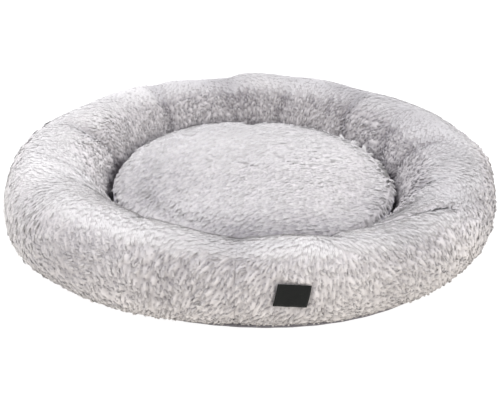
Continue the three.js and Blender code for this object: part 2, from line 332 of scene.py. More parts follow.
def simulated(points, faces, cap):
    """A search tree of the closed form's surface after the cloth simulation."""
    form = new_object("sim_form", points, faces)
    remesh = form.modifiers.new("remesh", "REMESH")
    remesh.mode = "VOXEL"
    remesh.voxel_size = VOXEL
    even = evaluated_mesh(form)
    form.modifiers.clear()
    form.data = even
    start = vertex_places(even)
    cloth = form.modifiers.new("cloth", "CLOTH")
    cloth.settings.use_pressure = True
    cloth.settings.uniform_pressure_force = SIM_PRESSURE
    cloth.settings.effector_weights.gravity = 0
    cloth.point_cache.frame_end = SIM_FRAMES
    for step in range(1, SIM_FRAMES + 1):
        bpy.context.scene.frame_set(step)
    shift = vertex_places(evaluated_mesh(form)) - start
    bpy.context.scene.frame_set(1)
    size = np.linalg.norm(shift, axis=1, keepdims=True)
    ended = start + shift * np.minimum(1, cap / np.maximum(size, TINY))
    tree = BVHTree.FromPolygons(ended.tolist(), [tuple(face.vertices) for face in even.polygons])
    bpy.data.objects.remove(form)
    print("simulated", len(start), "points, mean move", round(size.mean() / MM, 2), "mm")
    return tree


def grid_normals(grid, ring_rows=True):
    """Unit vectors out of a grid: along its rows crossed with along its columns."""
    wrapped = np.concatenate([grid[-1:], grid, grid[:1]]) if ring_rows else grid
    along = np.gradient(wrapped, axis=0)
    along = along[1:-1] if ring_rows else along
    normal = np.cross(along, np.gradient(grid, axis=1))
    return normal / np.maximum(np.linalg.norm(normal, axis=2, keepdims=True), LEAST_LENGTH)


def drawn_to(tree, grid, normals, cap):
    """How far each point of the grid moves along its normal to reach the simulated surface."""
    reach = 2 * cap
    found = np.zeros(grid.shape[:2])
    for i, j in np.ndindex(found.shape):
        origin = Vector(grid[i, j] + normals[i, j] * reach)
        hit = tree.ray_cast(origin, Vector(-normals[i, j]), 2 * reach)
        found[i, j] = reach - hit[3] if hit[0] else 0
    for _ in range(SMOOTHING):
        found = (np.roll(found, 1, 0) + 2 * found + np.roll(found, -1, 0)) / 4
        found[:, 1:-1] = (found[:, :-2] + 2 * found[:, 1:-1] + found[:, 2:]) / 4
    found -= found.mean()
    return np.clip(found, -cap, cap)[..., None] * normals


# %% [markdown]
# Seen close, plush isn't smooth. Its pile has curled into puffs less than a centimetre wide, with a
# thin line between them. Each puff is the cell round a seed: a place is high where one seed is much
# nearer than the next one, and low where two are equally near. Bending space a little first keeps the
# cells from looking like a honeycomb. Blender seeds this noise by the clock, so it gets a fixed seed here.

# %% Puffs
PUFF_BEND = 5 * MM
PUFF_BEND_SIZE = 13 * MM
PUFF_FULLNESS = 2.5
NOISE_SEED = 1796054395
seed_set(NOISE_SEED)


def swirl(grid, size):
    """Slow noise over a grid, between -1 and 1, that changes over about the given size."""
    values = [noise_vector(Vector(place / size))[0] for place in grid.reshape(-1, 3)]
    return np.reshape(values, grid.shape[:2])


def puff_height(grid, seeds):
    """For each point of a grid, 1 in the middle of a puff and 0 on the line between two."""
    tree = KDTree(len(seeds))
    for index, seed in enumerate(seeds):
        tree.insert(seed, index)
    tree.balance()
    height = []
    for place in grid.reshape(-1, 3):
        bent = Vector(place) + PUFF_BEND * noise_vector(Vector(place / PUFF_BEND_SIZE))
        near, second = (hit[2] for hit in tree.find_n(bent, 2))
        height.append((second - near) / (second + near))
    height = np.reshape(height, grid.shape[:2])
    return 1 - (1 - height)**PUFF_FULLNESS


# %% [markdown]
# The label's place comes first, because the backing stays low under it and the pile round it is kept
# short. It is a bare woven tape, sewn on a little askew, and it follows the wall it lies on. Its middle,
# and the vectors from there to its end and to its top edge, are what the planting tree needs.

# %% Where the label lies
LABEL_LENGTH = 48 * MM
LABEL_HEIGHT = 31 * MM
LABEL_THICKNESS = 0.8 * MM
LABEL_LEVEL = 74 * MM
LABEL_ANGLE = math.radians(278.1)
LABEL_TILT = math.radians(-6)
LABEL_SKEW = math.radians(8)
LABEL_PROUD = 0.5 * MM
LABEL_PART = 1.2
LABEL_PART_RISE = 0.3
LABEL_RIM_DROP = 1.6 * MM
LABEL_RIM = 4 * MM


def label_place(along, up, out):
    """A point over the front wall, at a place on the label and a distance out from the pile's tips."""
    along = along + up * math.tan(LABEL_SKEW)
    arc = along * math.cos(LABEL_TILT) - up * math.sin(LABEL_TILT)
    level = LABEL_LEVEL + along * math.sin(LABEL_TILT) + up * math.cos(LABEL_TILT)
    angle = LABEL_ANGLE + arc / BED_RADIUS
    top, rim, crest = crest_height(angle), rim_radius(angle), crest_radius(angle)
    sine = (level - WIDEST_LEVEL) / (top - WIDEST_LEVEL)
    radius = crest + (rim - crest) * np.sqrt(1 - np.clip(sine, -1, 1)**2) + out
    return around(radius, angle, level)


label_centre = label_place(0.0, 0.0, 0.0)
label_along = label_place(LABEL_LENGTH / 2, 0.0, 0.0) - label_centre
label_up = label_place(0.0, LABEL_HEIGHT / 2, 0.0) - label_centre
print("label centre", np.round(label_centre, 3))


# %% [markdown]
# The sleeve's backing is the cloth that holds the pile. It lies a pile's depth under the tips, and its
# grid has a row at each cross seam, so the left and the right length share those rows and meet there.
# Across the sleeve the grid is closest on the inner slope, where the folds are.

# %% The sleeve's grid
PILE_DEPTH = 7.5 * MM
LEFT_STEPS = 470
RIGHT_STEPS = 530
WAY_STOPS = (0, 1, 2, 3, 3.75)
WAY_STEPS = (25, 37, 57, 7)
ring_angles = np.concatenate([
    np.linspace(BACK_SEAM, FRONT_SEAM, LEFT_STEPS, endpoint=False),
    np.linspace(FRONT_SEAM, BACK_SEAM + 2 * math.pi, RIGHT_STEPS, endpoint=False)])
way_stretches = [np.linspace(first, last, steps, endpoint=False)
                 for first, last, steps in zip(WAY_STOPS, WAY_STOPS[1:], WAY_STEPS)]
ring_ways = np.append(np.concatenate(way_stretches), WAY_STOPS[-1])
drawn_backing = ring_place(ring_angles[:, None], ring_ways, PILE_DEPTH)
ring_normals = grid_normals(drawn_backing)
print("sleeve grid", drawn_backing.shape[:2])

# %% [markdown]
# A hand has brushed the pile smooth along the crest and down the left wall, and elsewhere it is curled.
# How calm the pile is at a place, from 0 to 1, steers its curls, its shade and the way it is combed.

# %% Where the pile is brushed
CREST_CALM_ONSET = (1.55, 1.85)
CREST_CALM_END = (2.2, 2.5)
BACK_CALM_SHIFT = 0.4
FRONT_CALM_SHIFT = 0.3
LEFT_CALM = 0.8
LEFT_CALM_ANGLE = math.radians(192)
LEFT_CALM_REACH = math.radians(30)
LEFT_CALM_WAYS = ((0.2, 0.9), (2.0, 2.4))


def ring_calm(angle, way):
    """1 where the sleeve's pile is brushed smooth, 0 where it is curled."""
    front, back = np.maximum(-np.sin(angle), 0), np.maximum(np.sin(angle), 0)
    crest = smooth_step(*CREST_CALM_ONSET, way + BACK_CALM_SHIFT * back)
    crest = crest * (1 - smooth_step(*CREST_CALM_END, way - FRONT_CALM_SHIFT * front))
    across = turn_from(LEFT_CALM_ANGLE, angle) / LEFT_CALM_REACH
    left = np.exp(-across**2) * band(*LEFT_CALM_WAYS, way)
    return 1 - (1 - crest) * (1 - LEFT_CALM * left)


calm_ring = ring_calm(ring_angles[:, None], ring_ways)
print("brushed share of the sleeve", calm_ring.mean().round(2))

# %% [markdown]
# On the sleeve the puffs are curls. The section is rolled out on a cylinder, sheared so that the curls
# lean one way and then the other on the way round, and squeezed along its girth, so that even cells on
# the cylinder are long curls on the sleeve.

# %% Curls on the sleeve
PUFF_SEED = 5
SEED_JITTER = 0.45
CURL_WIDTH = 9 * MM
CURL_SQUEEZE = 0.58
CURL_SLANT = 1.0
CURL_SWAYS = 5
CURL_SWAY_START = 0.35
SHEAR_LEVEL = 90 * MM
SHEAR_REACH = 55 * MM


def curl_slant(angle):
    """How far the curls lean round the ring on their way down the wall."""
    return CURL_SLANT * np.sin(CURL_SWAYS * angle + CURL_SWAY_START)


def curl_space(angle, girth):
    """Where a place of the sleeve lies on the cylinder."""
    shear = curl_slant(angle) * np.clip(girth - SHEAR_LEVEL, -SHEAR_REACH, SHEAR_REACH) / BED_RADIUS
    return around(BED_RADIUS, angle + shear, girth * CURL_SQUEEZE)


def curl_seeds(girth):
    """One seed for each curl, in rows with a jitter."""
    random = np.random.default_rng(PUFF_SEED)
    count = round(2 * math.pi * BED_RADIUS / CURL_WIDTH)
    rows = np.arange(0, girth * CURL_SQUEEZE + CURL_WIDTH, CURL_WIDTH)
    place, level = np.meshgrid(np.arange(count), rows)
    place = place + random.uniform(-SEED_JITTER, SEED_JITTER, place.shape)
    level = level + random.uniform(-SEED_JITTER, SEED_JITTER, level.shape) * CURL_WIDTH
    return around(BED_RADIUS, place * 2 * math.pi / count, level).reshape(-1, 3).tolist()


section = np.stack(ring_section(0.0, ring_ways, PILE_DEPTH), -1)
girths = np.append(0, np.cumsum(np.linalg.norm(np.diff(section, axis=0), axis=1)))
ring_puffs = puff_height(curl_space(ring_angles[:, None], girths), curl_seeds(girths[-1]))
print("sleeve girth", round(girths[-1] / MM), "mm")

# %% [markdown]
# The backing is the drawn form, moved by the simulation and raised by the body of the pile: by the
# puffs, by the pile that lies thick on the walls, and by the brushed pile along the crest. Under the
# label nothing is raised, because its stitches hold the cloth down.

# %% The sleeve's backing
SLEEVE_CAP = 4 * MM
SIM_STRIDES = (3, 2)
SIM_FLOOR_STEPS = 14
PUFF_RISE = 3.6 * MM
PUFF_CALM_LOSS = 0.8
PUFF_WAYS = (0.1, 0.5)
WALL_RISE = 4 * MM
WALL_WAYS = ((0.4, 0.9), (1.3, 1.9))
CALM_RISE = 2.5 * MM
LABEL_HOLD_SHARES = (0.9, 1.4)


def closed_tube(grid, steps):
    """The sleeve's section closed across its flat underside."""
    shares = np.linspace(0, 1, steps + 1)[1:-1, None]
    bottom = grid[:, -1:] * (1 - shares) + grid[:, :1] * shares
    return np.concatenate([grid, bottom], 1)


def label_hold(points):
    """1 under the label, where its stitches hold the cloth down, and 0 away from it."""
    off = points - label_centre
    along = np.abs(off @ label_along) / (label_along @ label_along)
    up = np.abs(off @ label_up) / (label_up @ label_up)
    near = np.linalg.norm(off, axis=-1) < LABEL_LENGTH
    return near * (1 - smooth_step(*LABEL_HOLD_SHARES, along)) * (1 - smooth_step(*LABEL_HOLD_SHARES, up))


ring_settle = np.zeros_like(drawn_backing)
tube = closed_tube(drawn_backing[::SIM_STRIDES[0], ::SIM_STRIDES[1]], SIM_FLOOR_STEPS)
settled = simulated(tube, grid_faces(*tube.shape[:2], True, True), SLEEVE_CAP)
ring_settle = drawn_to(settled, drawn_backing, ring_normals, SLEEVE_CAP)
ring_form = drawn_backing + ring_settle
puff_rise = PUFF_RISE * (1 - PUFF_CALM_LOSS * calm_ring) * smooth_step(*PUFF_WAYS, ring_ways)
lying_rise = WALL_RISE * band(*WALL_WAYS, ring_ways) + CALM_RISE * calm_ring
ring_rise = (ring_puffs * puff_rise + lying_rise) * (1 - label_hold(drawn_backing))
backing = ring_form + ring_rise[..., None] * ring_normals
puff_normals = grid_normals(backing)
print("sleeve backing settles up to", round(np.abs(ring_settle).max() / MM, 1), "mm")


# %% [markdown]
# The cushion is a round pillow: a plush top and a plain underside, sewn together at the widest line.
# Its edge lies just inside the well's wall, with a notch at the back where the wall's fold pushes it
# in. Half of its section is a superellipse, which is flatter on top and rounder at the edge than an
# ellipse. It goes through the same simulation as the sleeve, and near its edge the settled form fades
# back into the drawn one, which fits the well.

# %% The cushion's form
CUSHION_CROWN_LEVEL = 92 * MM
CUSHION_SEAM_LEVEL = 60 * MM
CUSHION_GAP = 1.5 * MM
CUSHION_FULLNESS = 2.8
CUSHION_CAP = 8 * MM
SETTLE_FADE_SHARES = (0.45, 0.75)
CUSHION_DIPS = [
    # angle, depth and width of each place where the cushion's edge stands back from the wall
    (90.3, 18 * MM, 34 * MM), (165, 5 * MM, 90 * MM), (12, 6 * MM, 80 * MM),
]
CUSHION_ROWS = 400
CUSHION_STEPS = 90
CUSHION_DENT = 2 * MM


def wall_radius_at(angle, level):
    """The radius of the sleeve's inner slope at a level."""
    crest, top, wall = crest_radius(angle), crest_height(angle), wall_radius(angle)
    cosine = (level - WALL_FOOT_LEVEL) / (top - WALL_FOOT_LEVEL)
    return crest - (crest - wall) * np.sqrt(1 - cosine**2)


def cushion_edge(angle):
    edge = wall_radius_at(angle, CUSHION_SEAM_LEVEL) - CUSHION_GAP
    for start, depth, width in CUSHION_DIPS:
        edge = edge - dip(angle, math.radians(start), depth, width)
    return edge


def cushion_place(angle, share, height, depth):
    """From the axis at share 0 to the seam at share 1; a negative height is the underside."""
    turn = share * math.pi / 2
    edge = cushion_edge(angle) - depth
    out = edge * np.sin(turn)**(2 / CUSHION_FULLNESS)
    rise = np.maximum(np.cos(turn), 0)**(2 / CUSHION_FULLNESS)
    dents = CUSHION_DENT * (np.sin(3 * angle + 1) * share**2 + np.cos(2 * angle + 4 * share))
    level = CUSHION_SEAM_LEVEL + (height - np.sign(height) * depth) * rise
    return around(out, angle, level + dents * rise * (height > 0))


crown_height = CUSHION_CROWN_LEVEL - CUSHION_SEAM_LEVEL
belly_depth = CUSHION_SEAM_LEVEL - FLOOR_LEVEL
cushion_angles = np.linspace(0, 2 * math.pi, CUSHION_ROWS, endpoint=False)[:, None]
cushion_shares = np.linspace(0, 1, CUSHION_STEPS)
drawn_top = cushion_place(cushion_angles, cushion_shares, crown_height, PILE_DEPTH)
drawn_belly = cushion_place(cushion_angles, cushion_shares, -belly_depth - PILE_DEPTH / 2, PILE_DEPTH / 2)
top_normals = -grid_normals(drawn_top)
top_normals[:, 0] = (0, 0, 1)

top_settle = np.zeros_like(drawn_top)
pillow = np.concatenate([drawn_top[:, 1:], drawn_belly[:, :0:-1]], 1)
rows, columns = pillow.shape[:2]
pillow_faces = [face[::-1] for face in grid_faces(rows, columns, ring_rows=True)]
pillow_faces.append([i * columns for i in range(rows)])
pillow_faces.append([i * columns + columns - 1 for i in reversed(range(rows))])
settled = simulated(pillow, pillow_faces, CUSHION_CAP)
top_settle = drawn_to(settled, drawn_top, top_normals, CUSHION_CAP)
top_settle[:, 0] = top_settle[:, 1].mean(0)
top_settle *= 1 - smooth_step(*SETTLE_FADE_SHARES, cushion_shares)[None, :, None]
cushion_form = drawn_top + top_settle
print("cushion top settles up to", round(np.abs(top_settle).max() / MM, 1), "mm")

# %% [markdown]
# The cushion's pile has been stroked flat, so its puffs are low and drawn out into streaks. They run
# slantwise on the left half and nearly level on the right. Squeezing space along the streak before the
# seeds are looked up draws the cells out, and the two directions are blended across the middle. The
# back half has been brushed, so its streaks are lower still.

# %% Streaks on the cushion
LEFT_SLANT = math.radians(62)
RIGHT_SLANT = math.radians(14)
LEFT_SEED = 21
RIGHT_SEED = 22
STREAK_WIDTH = 7 * MM
STREAK_SHARE = 0.4
STREAK_RISE = 1.3 * MM
STREAK_CALM_LOSS = 0.7
STREAK_REACH = BED_RADIUS * 0.6
# Where one half blends into the other, from the left to the right and from the front to the back.
SLANT_BLEND_SHARES = (-0.25, 0.3)
CALM_BLEND_SHARES = (-0.1, 0.35)


def streaks(slant, seed):
    along = drawn_top[..., :2] @ (math.cos(slant), math.sin(slant))
    across = drawn_top[..., :2] @ (-math.sin(slant), math.cos(slant))
    squeezed = np.stack([along * STREAK_SHARE, across, np.zeros_like(along)], -1)
    random = np.random.default_rng(seed)
    spots = np.arange(-STREAK_REACH, STREAK_REACH, STREAK_WIDTH)
    grid = np.stack(np.meshgrid(spots, spots, [0.0], indexing="ij"), -1).reshape(-1, 3)
    grid[:, :2] += random.uniform(-SEED_JITTER, SEED_JITTER, (len(grid), 2)) * STREAK_WIDTH
    return puff_height(squeezed, grid.tolist())


slant_share = smooth_step(*SLANT_BLEND_SHARES, drawn_top[..., 0] / BED_RADIUS)
calm_share = smooth_step(*CALM_BLEND_SHARES, drawn_top[..., 1] / BED_RADIUS)
cushion_puffs = streaks(LEFT_SLANT, LEFT_SEED) * (1 - slant_share)
cushion_puffs += streaks(RIGHT_SLANT, RIGHT_SEED) * slant_share
cushion_puffs[:, 0] = cushion_puffs[:, 0].mean()
streak_rise = cushion_puffs * (1 - STREAK_CALM_LOSS * calm_share) * STREAK_RISE
cushion_top = cushion_form + streak_rise[..., None] * top_normals
streak_normals = -grid_normals(cushion_top)
streak_normals[:, :2] = (0, 0, 1)
print("cushion top", cushion_top.shape[:2])

# %% [markdown]
# Node trees are easier to read as formulas. A small class wraps an output socket, so that + - * / and
# powers on it add Math nodes, and one method adds any other node from its type, its settings, and the
# values or links of its sockets. Shader trees and Geometry Nodes trees both use it.


# %% Node trees as formulas
class Value:
    """An output socket that understands arithmetic."""

    def __init__(self, wires, socket):
        self.wires = wires
        self.socket = socket

    def __add__(self, other):
        return self.wires.maths("ADD", self, other)

    def __sub__(self, other):
        return self.wires.maths("SUBTRACT", self, other)

    def __mul__(self, other):
        return self.wires.maths("MULTIPLY", self, other)

    def __truediv__(self, other):
        return self.wires.maths("DIVIDE", self, other)

    def __pow__(self, other):
        return self.wires.maths("POWER", self, other)

    def __rsub__(self, other):
        return self.wires.maths("SUBTRACT", other, self)

    __radd__ = __add__
    __rmul__ = __mul__


class Outputs:
    """A node's outputs, each one a Value, by name or by number."""

    def __init__(self, wires, node):
        self.wires = wires
        self.node = node

    def __getitem__(self, key):
        return Value(self.wires, self.node.outputs[key])


class Wires:
    """Adds nodes to one tree and joins them."""

    def __init__(self, tree):
        self.tree = tree

    def maths(self, operation, first, second):
        return self.node("ShaderNodeMath", {"operation": operation}, {0: first, 1: second})[0]

    def plug(self, socket, value):
        if isinstance(value, Value):
            self.tree.links.new(value.socket, socket)
        else:
            socket.default_value = value

    def node(self, kind, settings=None, sockets=None):
        node = self.tree.nodes.new(kind)
        for name, setting in (settings or {}).items():
            setattr(node, name, setting)
        for key, value in (sockets or {}).items():
            self.plug(node.inputs[key], value)
        return Outputs(self, node)

    def vector(self, operation, *values):
        """A Vector Math node's first output."""
        return self.node("ShaderNodeVectorMath", {"operation": operation}, dict(enumerate(values)))[0]

    def scaled(self, vector, size):
        return self.node("ShaderNodeVectorMath", {"operation": "SCALE"}, {0: vector, "Scale": size})[0]

    def dot(self, first, second):
        return self.node("ShaderNodeVectorMath", {"operation": "DOT_PRODUCT"}, {0: first, 1: second})[1]

    def mixed(self, factor, first, second):
        """A colour between two colours."""
        settings = {"data_type": "RGBA"}
        return self.node("ShaderNodeMix", settings, {0: factor, 6: first, 7: second})[2]


# %% [markdown]
# Colours are written as a picture program shows them, 0 to 255, and turned into the linear light that
# shaders work in. Each finish is one function's worth of nodes: a pattern gives a base colour, and the
# same pattern gives the bump and the roughness, so that a thread looks raised exactly where it shows.


# %% Colours and a finish helper
def paint(red, green, blue):
    """A linear colour from its 0-255 values."""
    shares = np.array([red, green, blue]) / 255
    linear = np.where(shares <= 0.04045, shares / 12.92, ((shares + 0.055) / 1.055)**2.4)
    return (*linear.tolist(), 1)


CLOTH_SHINE = 0.25
SHEEN_ROUGHNESS = 0.5


def new_finish(name, sheen):
    """A material with a Principled shader. Returns it with its wires and that shader's node."""
    material = bpy.data.materials.new(name)
    material.use_nodes = True
    shader = material.node_tree.nodes["Principled BSDF"]
    shader.inputs["Specular IOR Level"].default_value = CLOTH_SHINE
    shader.inputs["Sheen Weight"].default_value = sheen
    shader.inputs["Sheen Roughness"].default_value = SHEEN_ROUGHNESS
    return material, Wires(material.node_tree), shader


# %% [markdown]
# The plush is made of locks, small bundles of fibres. Every lock gets one of many close shades, and a
# fibre is painted darker and greyer at its root than at its tip: painted shade for the light that is lost
# between its neighbours.
# Both run along the pile's own map: across it lies the lock's shade and up it the way along the fibre. A
# finish that reads nothing but this map stays true when it is baked for the exported model.

# %% Plush finishes
PILE_MAP = "OFBake"
TIP_DARK = paint(166, 163, 167)
TIP_LIGHT = paint(250, 248, 246)
# The root colours are the tip colours with painted shade.
ROOT_DARK = paint(108, 103, 106)
ROOT_LIGHT = paint(208, 203, 202)
BACKING_LIGHT = paint(224, 220, 220)
BACKING_BUMP = 0.6 * MM
KNIT_SCALE = 520.0
GRAIN_SCALE = 160.0


def make_pile_finish():
    material, wires, shader = new_finish("plush_pile", sheen=0.05)
    map_place = wires.node("ShaderNodeUVMap", {"uv_map": PILE_MAP})[0]
    apart = wires.node("ShaderNodeSeparateXYZ", {}, {0: map_place})
    shade, along = apart[0], apart[1]
    tip = wires.mixed(shade, TIP_DARK, TIP_LIGHT)
    root = wires.mixed(shade, ROOT_DARK, ROOT_LIGHT)
    wires.plug(shader.inputs["Base Color"], wires.mixed(along**0.7, root, tip))
    wires.plug(shader.inputs["Roughness"], 0.95 - along * 0.15)
    return material


def make_backing_finish():
    material, wires, shader = new_finish("plush_backing", sheen=0.2)
    place = wires.node("ShaderNodeTexCoord")["Object"]
    tint = wires.node("ShaderNodeAttribute", {"attribute_name": "tint"})["Fac"]
    knit = wires.node("ShaderNodeTexVoronoi", {}, {"Vector": place, "Scale": KNIT_SCALE})["Distance"]
    grain = wires.node("ShaderNodeTexNoise", {}, {"Vector": place, "Scale": GRAIN_SCALE, "Detail": 3.0})[0]
    # The backing reads the tint, with its painted light and shade, and is darker than the tips: painted
    # shade between the locks.
    shade = tint + (grain - 0.5) * 0.3
    wires.plug(shader.inputs["Base Color"], wires.mixed(shade, ROOT_DARK, BACKING_LIGHT))
    wires.plug(shader.inputs["Roughness"], 0.85 + knit * 0.1)
    bump = wires.node("ShaderNodeBump", {}, {
        "Strength": 0.5, "Distance": BACKING_BUMP, "Height": knit + grain})
    wires.plug(shader.inputs["Normal"], bump[0])
    return material


pile_finish = make_pile_finish()
backing_finish = make_backing_finish()


# %% [markdown]
# The cloths that close the bed underneath are woven. Two bands of waves at right angles make the warp
# and the weft of a plain weave, and slow noise breaks up their evenness. The label is a satin tape in near
# black with its ribs along it; its finish is the same plain weave, finer.

# %% Woven finishes
def make_woven_finish(name, dark, light, threads, depth, sheen):
    """A plain weave, with so many threads to the metre."""
    material, wires, shader = new_finish(name, sheen)
    place = wires.node("ShaderNodeTexCoord")["Object"]
    apart = wires.node("ShaderNodeSeparateXYZ", {}, {0: place})
    pitch = 2 * math.pi * threads

    def ridge(way):
        wave = wires.node("ShaderNodeMath", {"operation": "SINE"}, {0: way * pitch})[0]
        return wave * 0.5 + 0.5

    weave = ridge(apart[0]) * ridge(apart[1]) * 0.6 + ridge(apart[2]) * 0.15
    slow = wires.node("ShaderNodeTexNoise", {}, {"Vector": place, "Scale": 38.0, "Detail": 4.0})[0]
    wires.plug(shader.inputs["Base Color"], wires.mixed(weave * 0.55 + slow * 0.5, dark, light))
    wires.plug(shader.inputs["Roughness"], 0.9 - weave * 0.15)
    height = weave + slow * 0.4
    bump = wires.node("ShaderNodeBump", {}, {"Strength": 0.6, "Distance": depth, "Height": height})
    wires.plug(shader.inputs["Normal"], bump[0])
    return material


base_finish = make_woven_finish("base_weave", paint(120, 118, 124), paint(168, 165, 172),
                                threads=900, depth=0.3 * MM, sheen=0.1)
lining_finish = make_woven_finish("lining_weave", paint(186, 182, 190), paint(222, 219, 225),
                                  threads=1100, depth=0.2 * MM, sheen=0.1)
tape_finish = make_woven_finish("tape_weave", paint(13, 14, 13), paint(30, 32, 30),
                                threads=1800, depth=0.15 * MM, sheen=0.05)

# %% [markdown]
# Thread, rubber and fibrefill are small or hidden, so each has one mottled colour, and a bump of the
# same grain.


# %% Thread, rubber and fibre
def make_plain_finish(name, dark, light, scale, roughness, depth):
    """A finish with one mottled colour. The scale is the grains to the metre."""
    material, wires, shader = new_finish(name, sheen=0.1)
    place = wires.node("ShaderNodeTexCoord")["Object"]
    grain = wires.node("ShaderNodeTexNoise", {}, {"Vector": place, "Scale": scale, "Detail": 3.0})[0]
    wires.plug(shader.inputs["Base Color"], wires.mixed(grain, dark, light))
    wires.plug(shader.inputs["Roughness"], grain * 0.2 + roughness)
    bump = wires.node("ShaderNodeBump", {}, {"Strength": 0.5, "Distance": depth, "Height": grain})
    wires.plug(shader.inputs["Normal"], bump[0])
    return material


fibre_finish = make_plain_finish("fibre_fluff", paint(226, 226, 222), paint(246, 246, 243),
                                 scale=90.0, roughness=0.8, depth=2 * MM)
thread_finish = make_plain_finish("grey_thread", paint(176, 172, 180), paint(206, 202, 210),
                                  scale=900.0, roughness=0.6, depth=0.1 * MM)
black_finish = make_plain_finish("black_thread", paint(24, 25, 24), paint(46, 47, 46),
                                 scale=900.0, roughness=0.55, depth=0.1 * MM)
grip_finish = make_plain_finish("grip_rubber", paint(96, 95, 100), paint(112, 110, 116),
                                scale=300.0, roughness=0.5, depth=0.1 * MM)
print("finishes", [material.name for material in bpy.data.materials])


# %% [markdown]
# Every finished piece gets its finish and the body it moves with, and where it stands for a piece of the
# imported model, that piece's node is hidden. One helper does all of it.


# %% Dressing helper
def dress(piece, finish, body, nodes=()):
    """Gives a piece its finish and the body it rides on, and hides the nodes it stands for."""
    piece.data.materials.clear()
    piece.data.materials.append(finish)
    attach(piece, body)
    if nodes:
        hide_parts(*nodes)
    print(piece.name, len(piece.data.polygons), "faces on", body)
    return piece


# %% [markdown]
# Light and shade are painted into the pile's tint. Painted shade darkens the folds, the lines between
# the curls and streaks, and the cracks at the foot of each wall and at the cushion's rim. Stroking plush
# lays its pile over, and pile that lies one way catches more light than pile that lies the other way. That
# and the rest are painted as soft patches of light and shade: each row says where on the piece a patch
# lies, how far it reaches each way, and how much lighter or darker it is.

# %% Painted light and shade
RING_TINT = 0.8
# Soft patches of painted light and shade on the ring: painted light on much of the crest and the left, and
# painted shade on the back and right inner slope, beside the back seam and in the cracks at the wall's foot.
RING_PAINTED_SHADING = [
    # angle, way, reach in degrees, reach along the way, change
    (75, 2.45, 50, 0.32, -0.16), (62, 2.08, 40, 0.16, -0.16), (15, 2.45, 32, 0.3, -0.18),
    (0, 2.1, 22, 0.2, -0.12), (195, 1.95, 32, 0.35, 0.2), (268, 2.2, 60, 0.35, 0.15),
    (182, 2.5, 24, 0.35, 0.3), (228, 1.3, 24, 0.35, -0.14), (192, 1.2, 22, 0.35, 0.17),
    (150, 2.1, 25, 0.3, 0.12), (150, 1.5, 50, 0.25, 0.25), (45, 1.5, 50, 0.25, 0.12),
    (255, 0.75, 45, 0.25, 0.08), (325, 1.3, 28, 0.4, 0.08), (93, 2.45, 6, 0.35, -0.2),
    (168, 2.9, 22, 0.12, -0.6), (10, 2.85, 20, 0.14, -0.5),
]
# Painted shade where the sleeve is pressed in, at its folds, seams, gathers and bumps, and in the crack at
# the foot of the well's wall.
FOLD_PAINTED_SHADE = -0.28
FOOT_PAINTED_SHADE = -0.6
FOOT_WAYS = (2.7, 2.95)
CALM_TINT = -0.2
# Painted shade on the lines between the curls and painted light on their tops, where the pile is not
# brushed.
CURL_PAINTED_SHADE = 0.4
CURL_MIDDLE = 0.75
CUSHION_TINT = 0.8
# Soft patches of painted light and shade on the cushion: painted shade on its left, along its front under
# the ring's crest, at the front right and at the back, and painted light right of the middle.
CUSHION_PAINTED_SHADING = [
    # x and y of the middle and reach across and along, in mm, and change
    (-170, -60, 80, 110, -0.24), (40, -235, 190, 50, -0.6), (200, -120, 40, 60, -0.12),
    (0, 170, 200, 70, -0.1), (130, 10, 90, 90, 0.1),
]
# Painted shade on the lines between the cushion's streaks and painted light on the streaks, and painted
# shade at its rim, in the crack against the wall.
STREAK_PAINTED_SHADE = 0.2
STREAK_MIDDLE = 0.7
RIM_PAINTED_SHADE = -0.5
RIM_SHARES = (0.93, 1.0)


# The ring's tint: its own colour, with the painted shade of the folds and the foot, and the painted patches.
def ring_tint(angle, way):
    tint = RING_TINT + FOLD_PAINTED_SHADE * press_in(angle, way) / FOLD_DEPTH
    tint = tint + FOOT_PAINTED_SHADE * smooth_step(*FOOT_WAYS, way)
    for start, level, turn, rise, change in RING_PAINTED_SHADING:
        across = turn_from(math.radians(start), angle) / math.radians(turn)
        tint = tint + change * np.exp(-across**2 - ((way - level) / rise)**2)
    return tint


# The cushion's tint: its own colour, with the painted patches of light and shade.
def cushion_tint(places):
    tint = np.full(places.shape[:2], CUSHION_TINT)
    for x, y, wide, long, change in CUSHION_PAINTED_SHADING:
        across, along = (places[..., 0] / MM - x) / wide, (places[..., 1] / MM - y) / long
        tint += change * np.exp(-across**2 - along**2)
    return tint


ring_tints = ring_tint(ring_angles[:, None], ring_ways) + CALM_TINT * calm_ring
ring_tints += CURL_PAINTED_SHADE * (ring_puffs - CURL_MIDDLE) * (1 - calm_ring)
cushion_tints = cushion_tint(drawn_top) + RIM_PAINTED_SHADE * smooth_step(*RIM_SHARES, cushion_shares)
cushion_tints += STREAK_PAINTED_SHADE * (cushion_puffs - STREAK_MIDDLE) * (1 - PUFF_CALM_LOSS * calm_share)
print("ring tint from", ring_tints.min().round(2), "to", ring_tints.max().round(2))


def set_tint(piece, tints):
    """Stores how light each point of a piece is painted, painted light and shade included, for its finish to
    read.
    """
    layer = piece.data.attributes.new("tint", "FLOAT", "POINT")
    layer.data.foreach_set("value", np.ravel(tints).astype(np.float32))


# %% [markdown]
# The sleeve is two lengths of plush fabric, so it is two shells, one from each seam to the other. Each
# has the backing grid as its outside and the same grid a cloth's thickness further in as its inside.

# %% Sleeve lengths
SLEEVE_CLOTH = 3 * MM
SEAM_PINCH = 0.03
INNER_STRIDE = 6


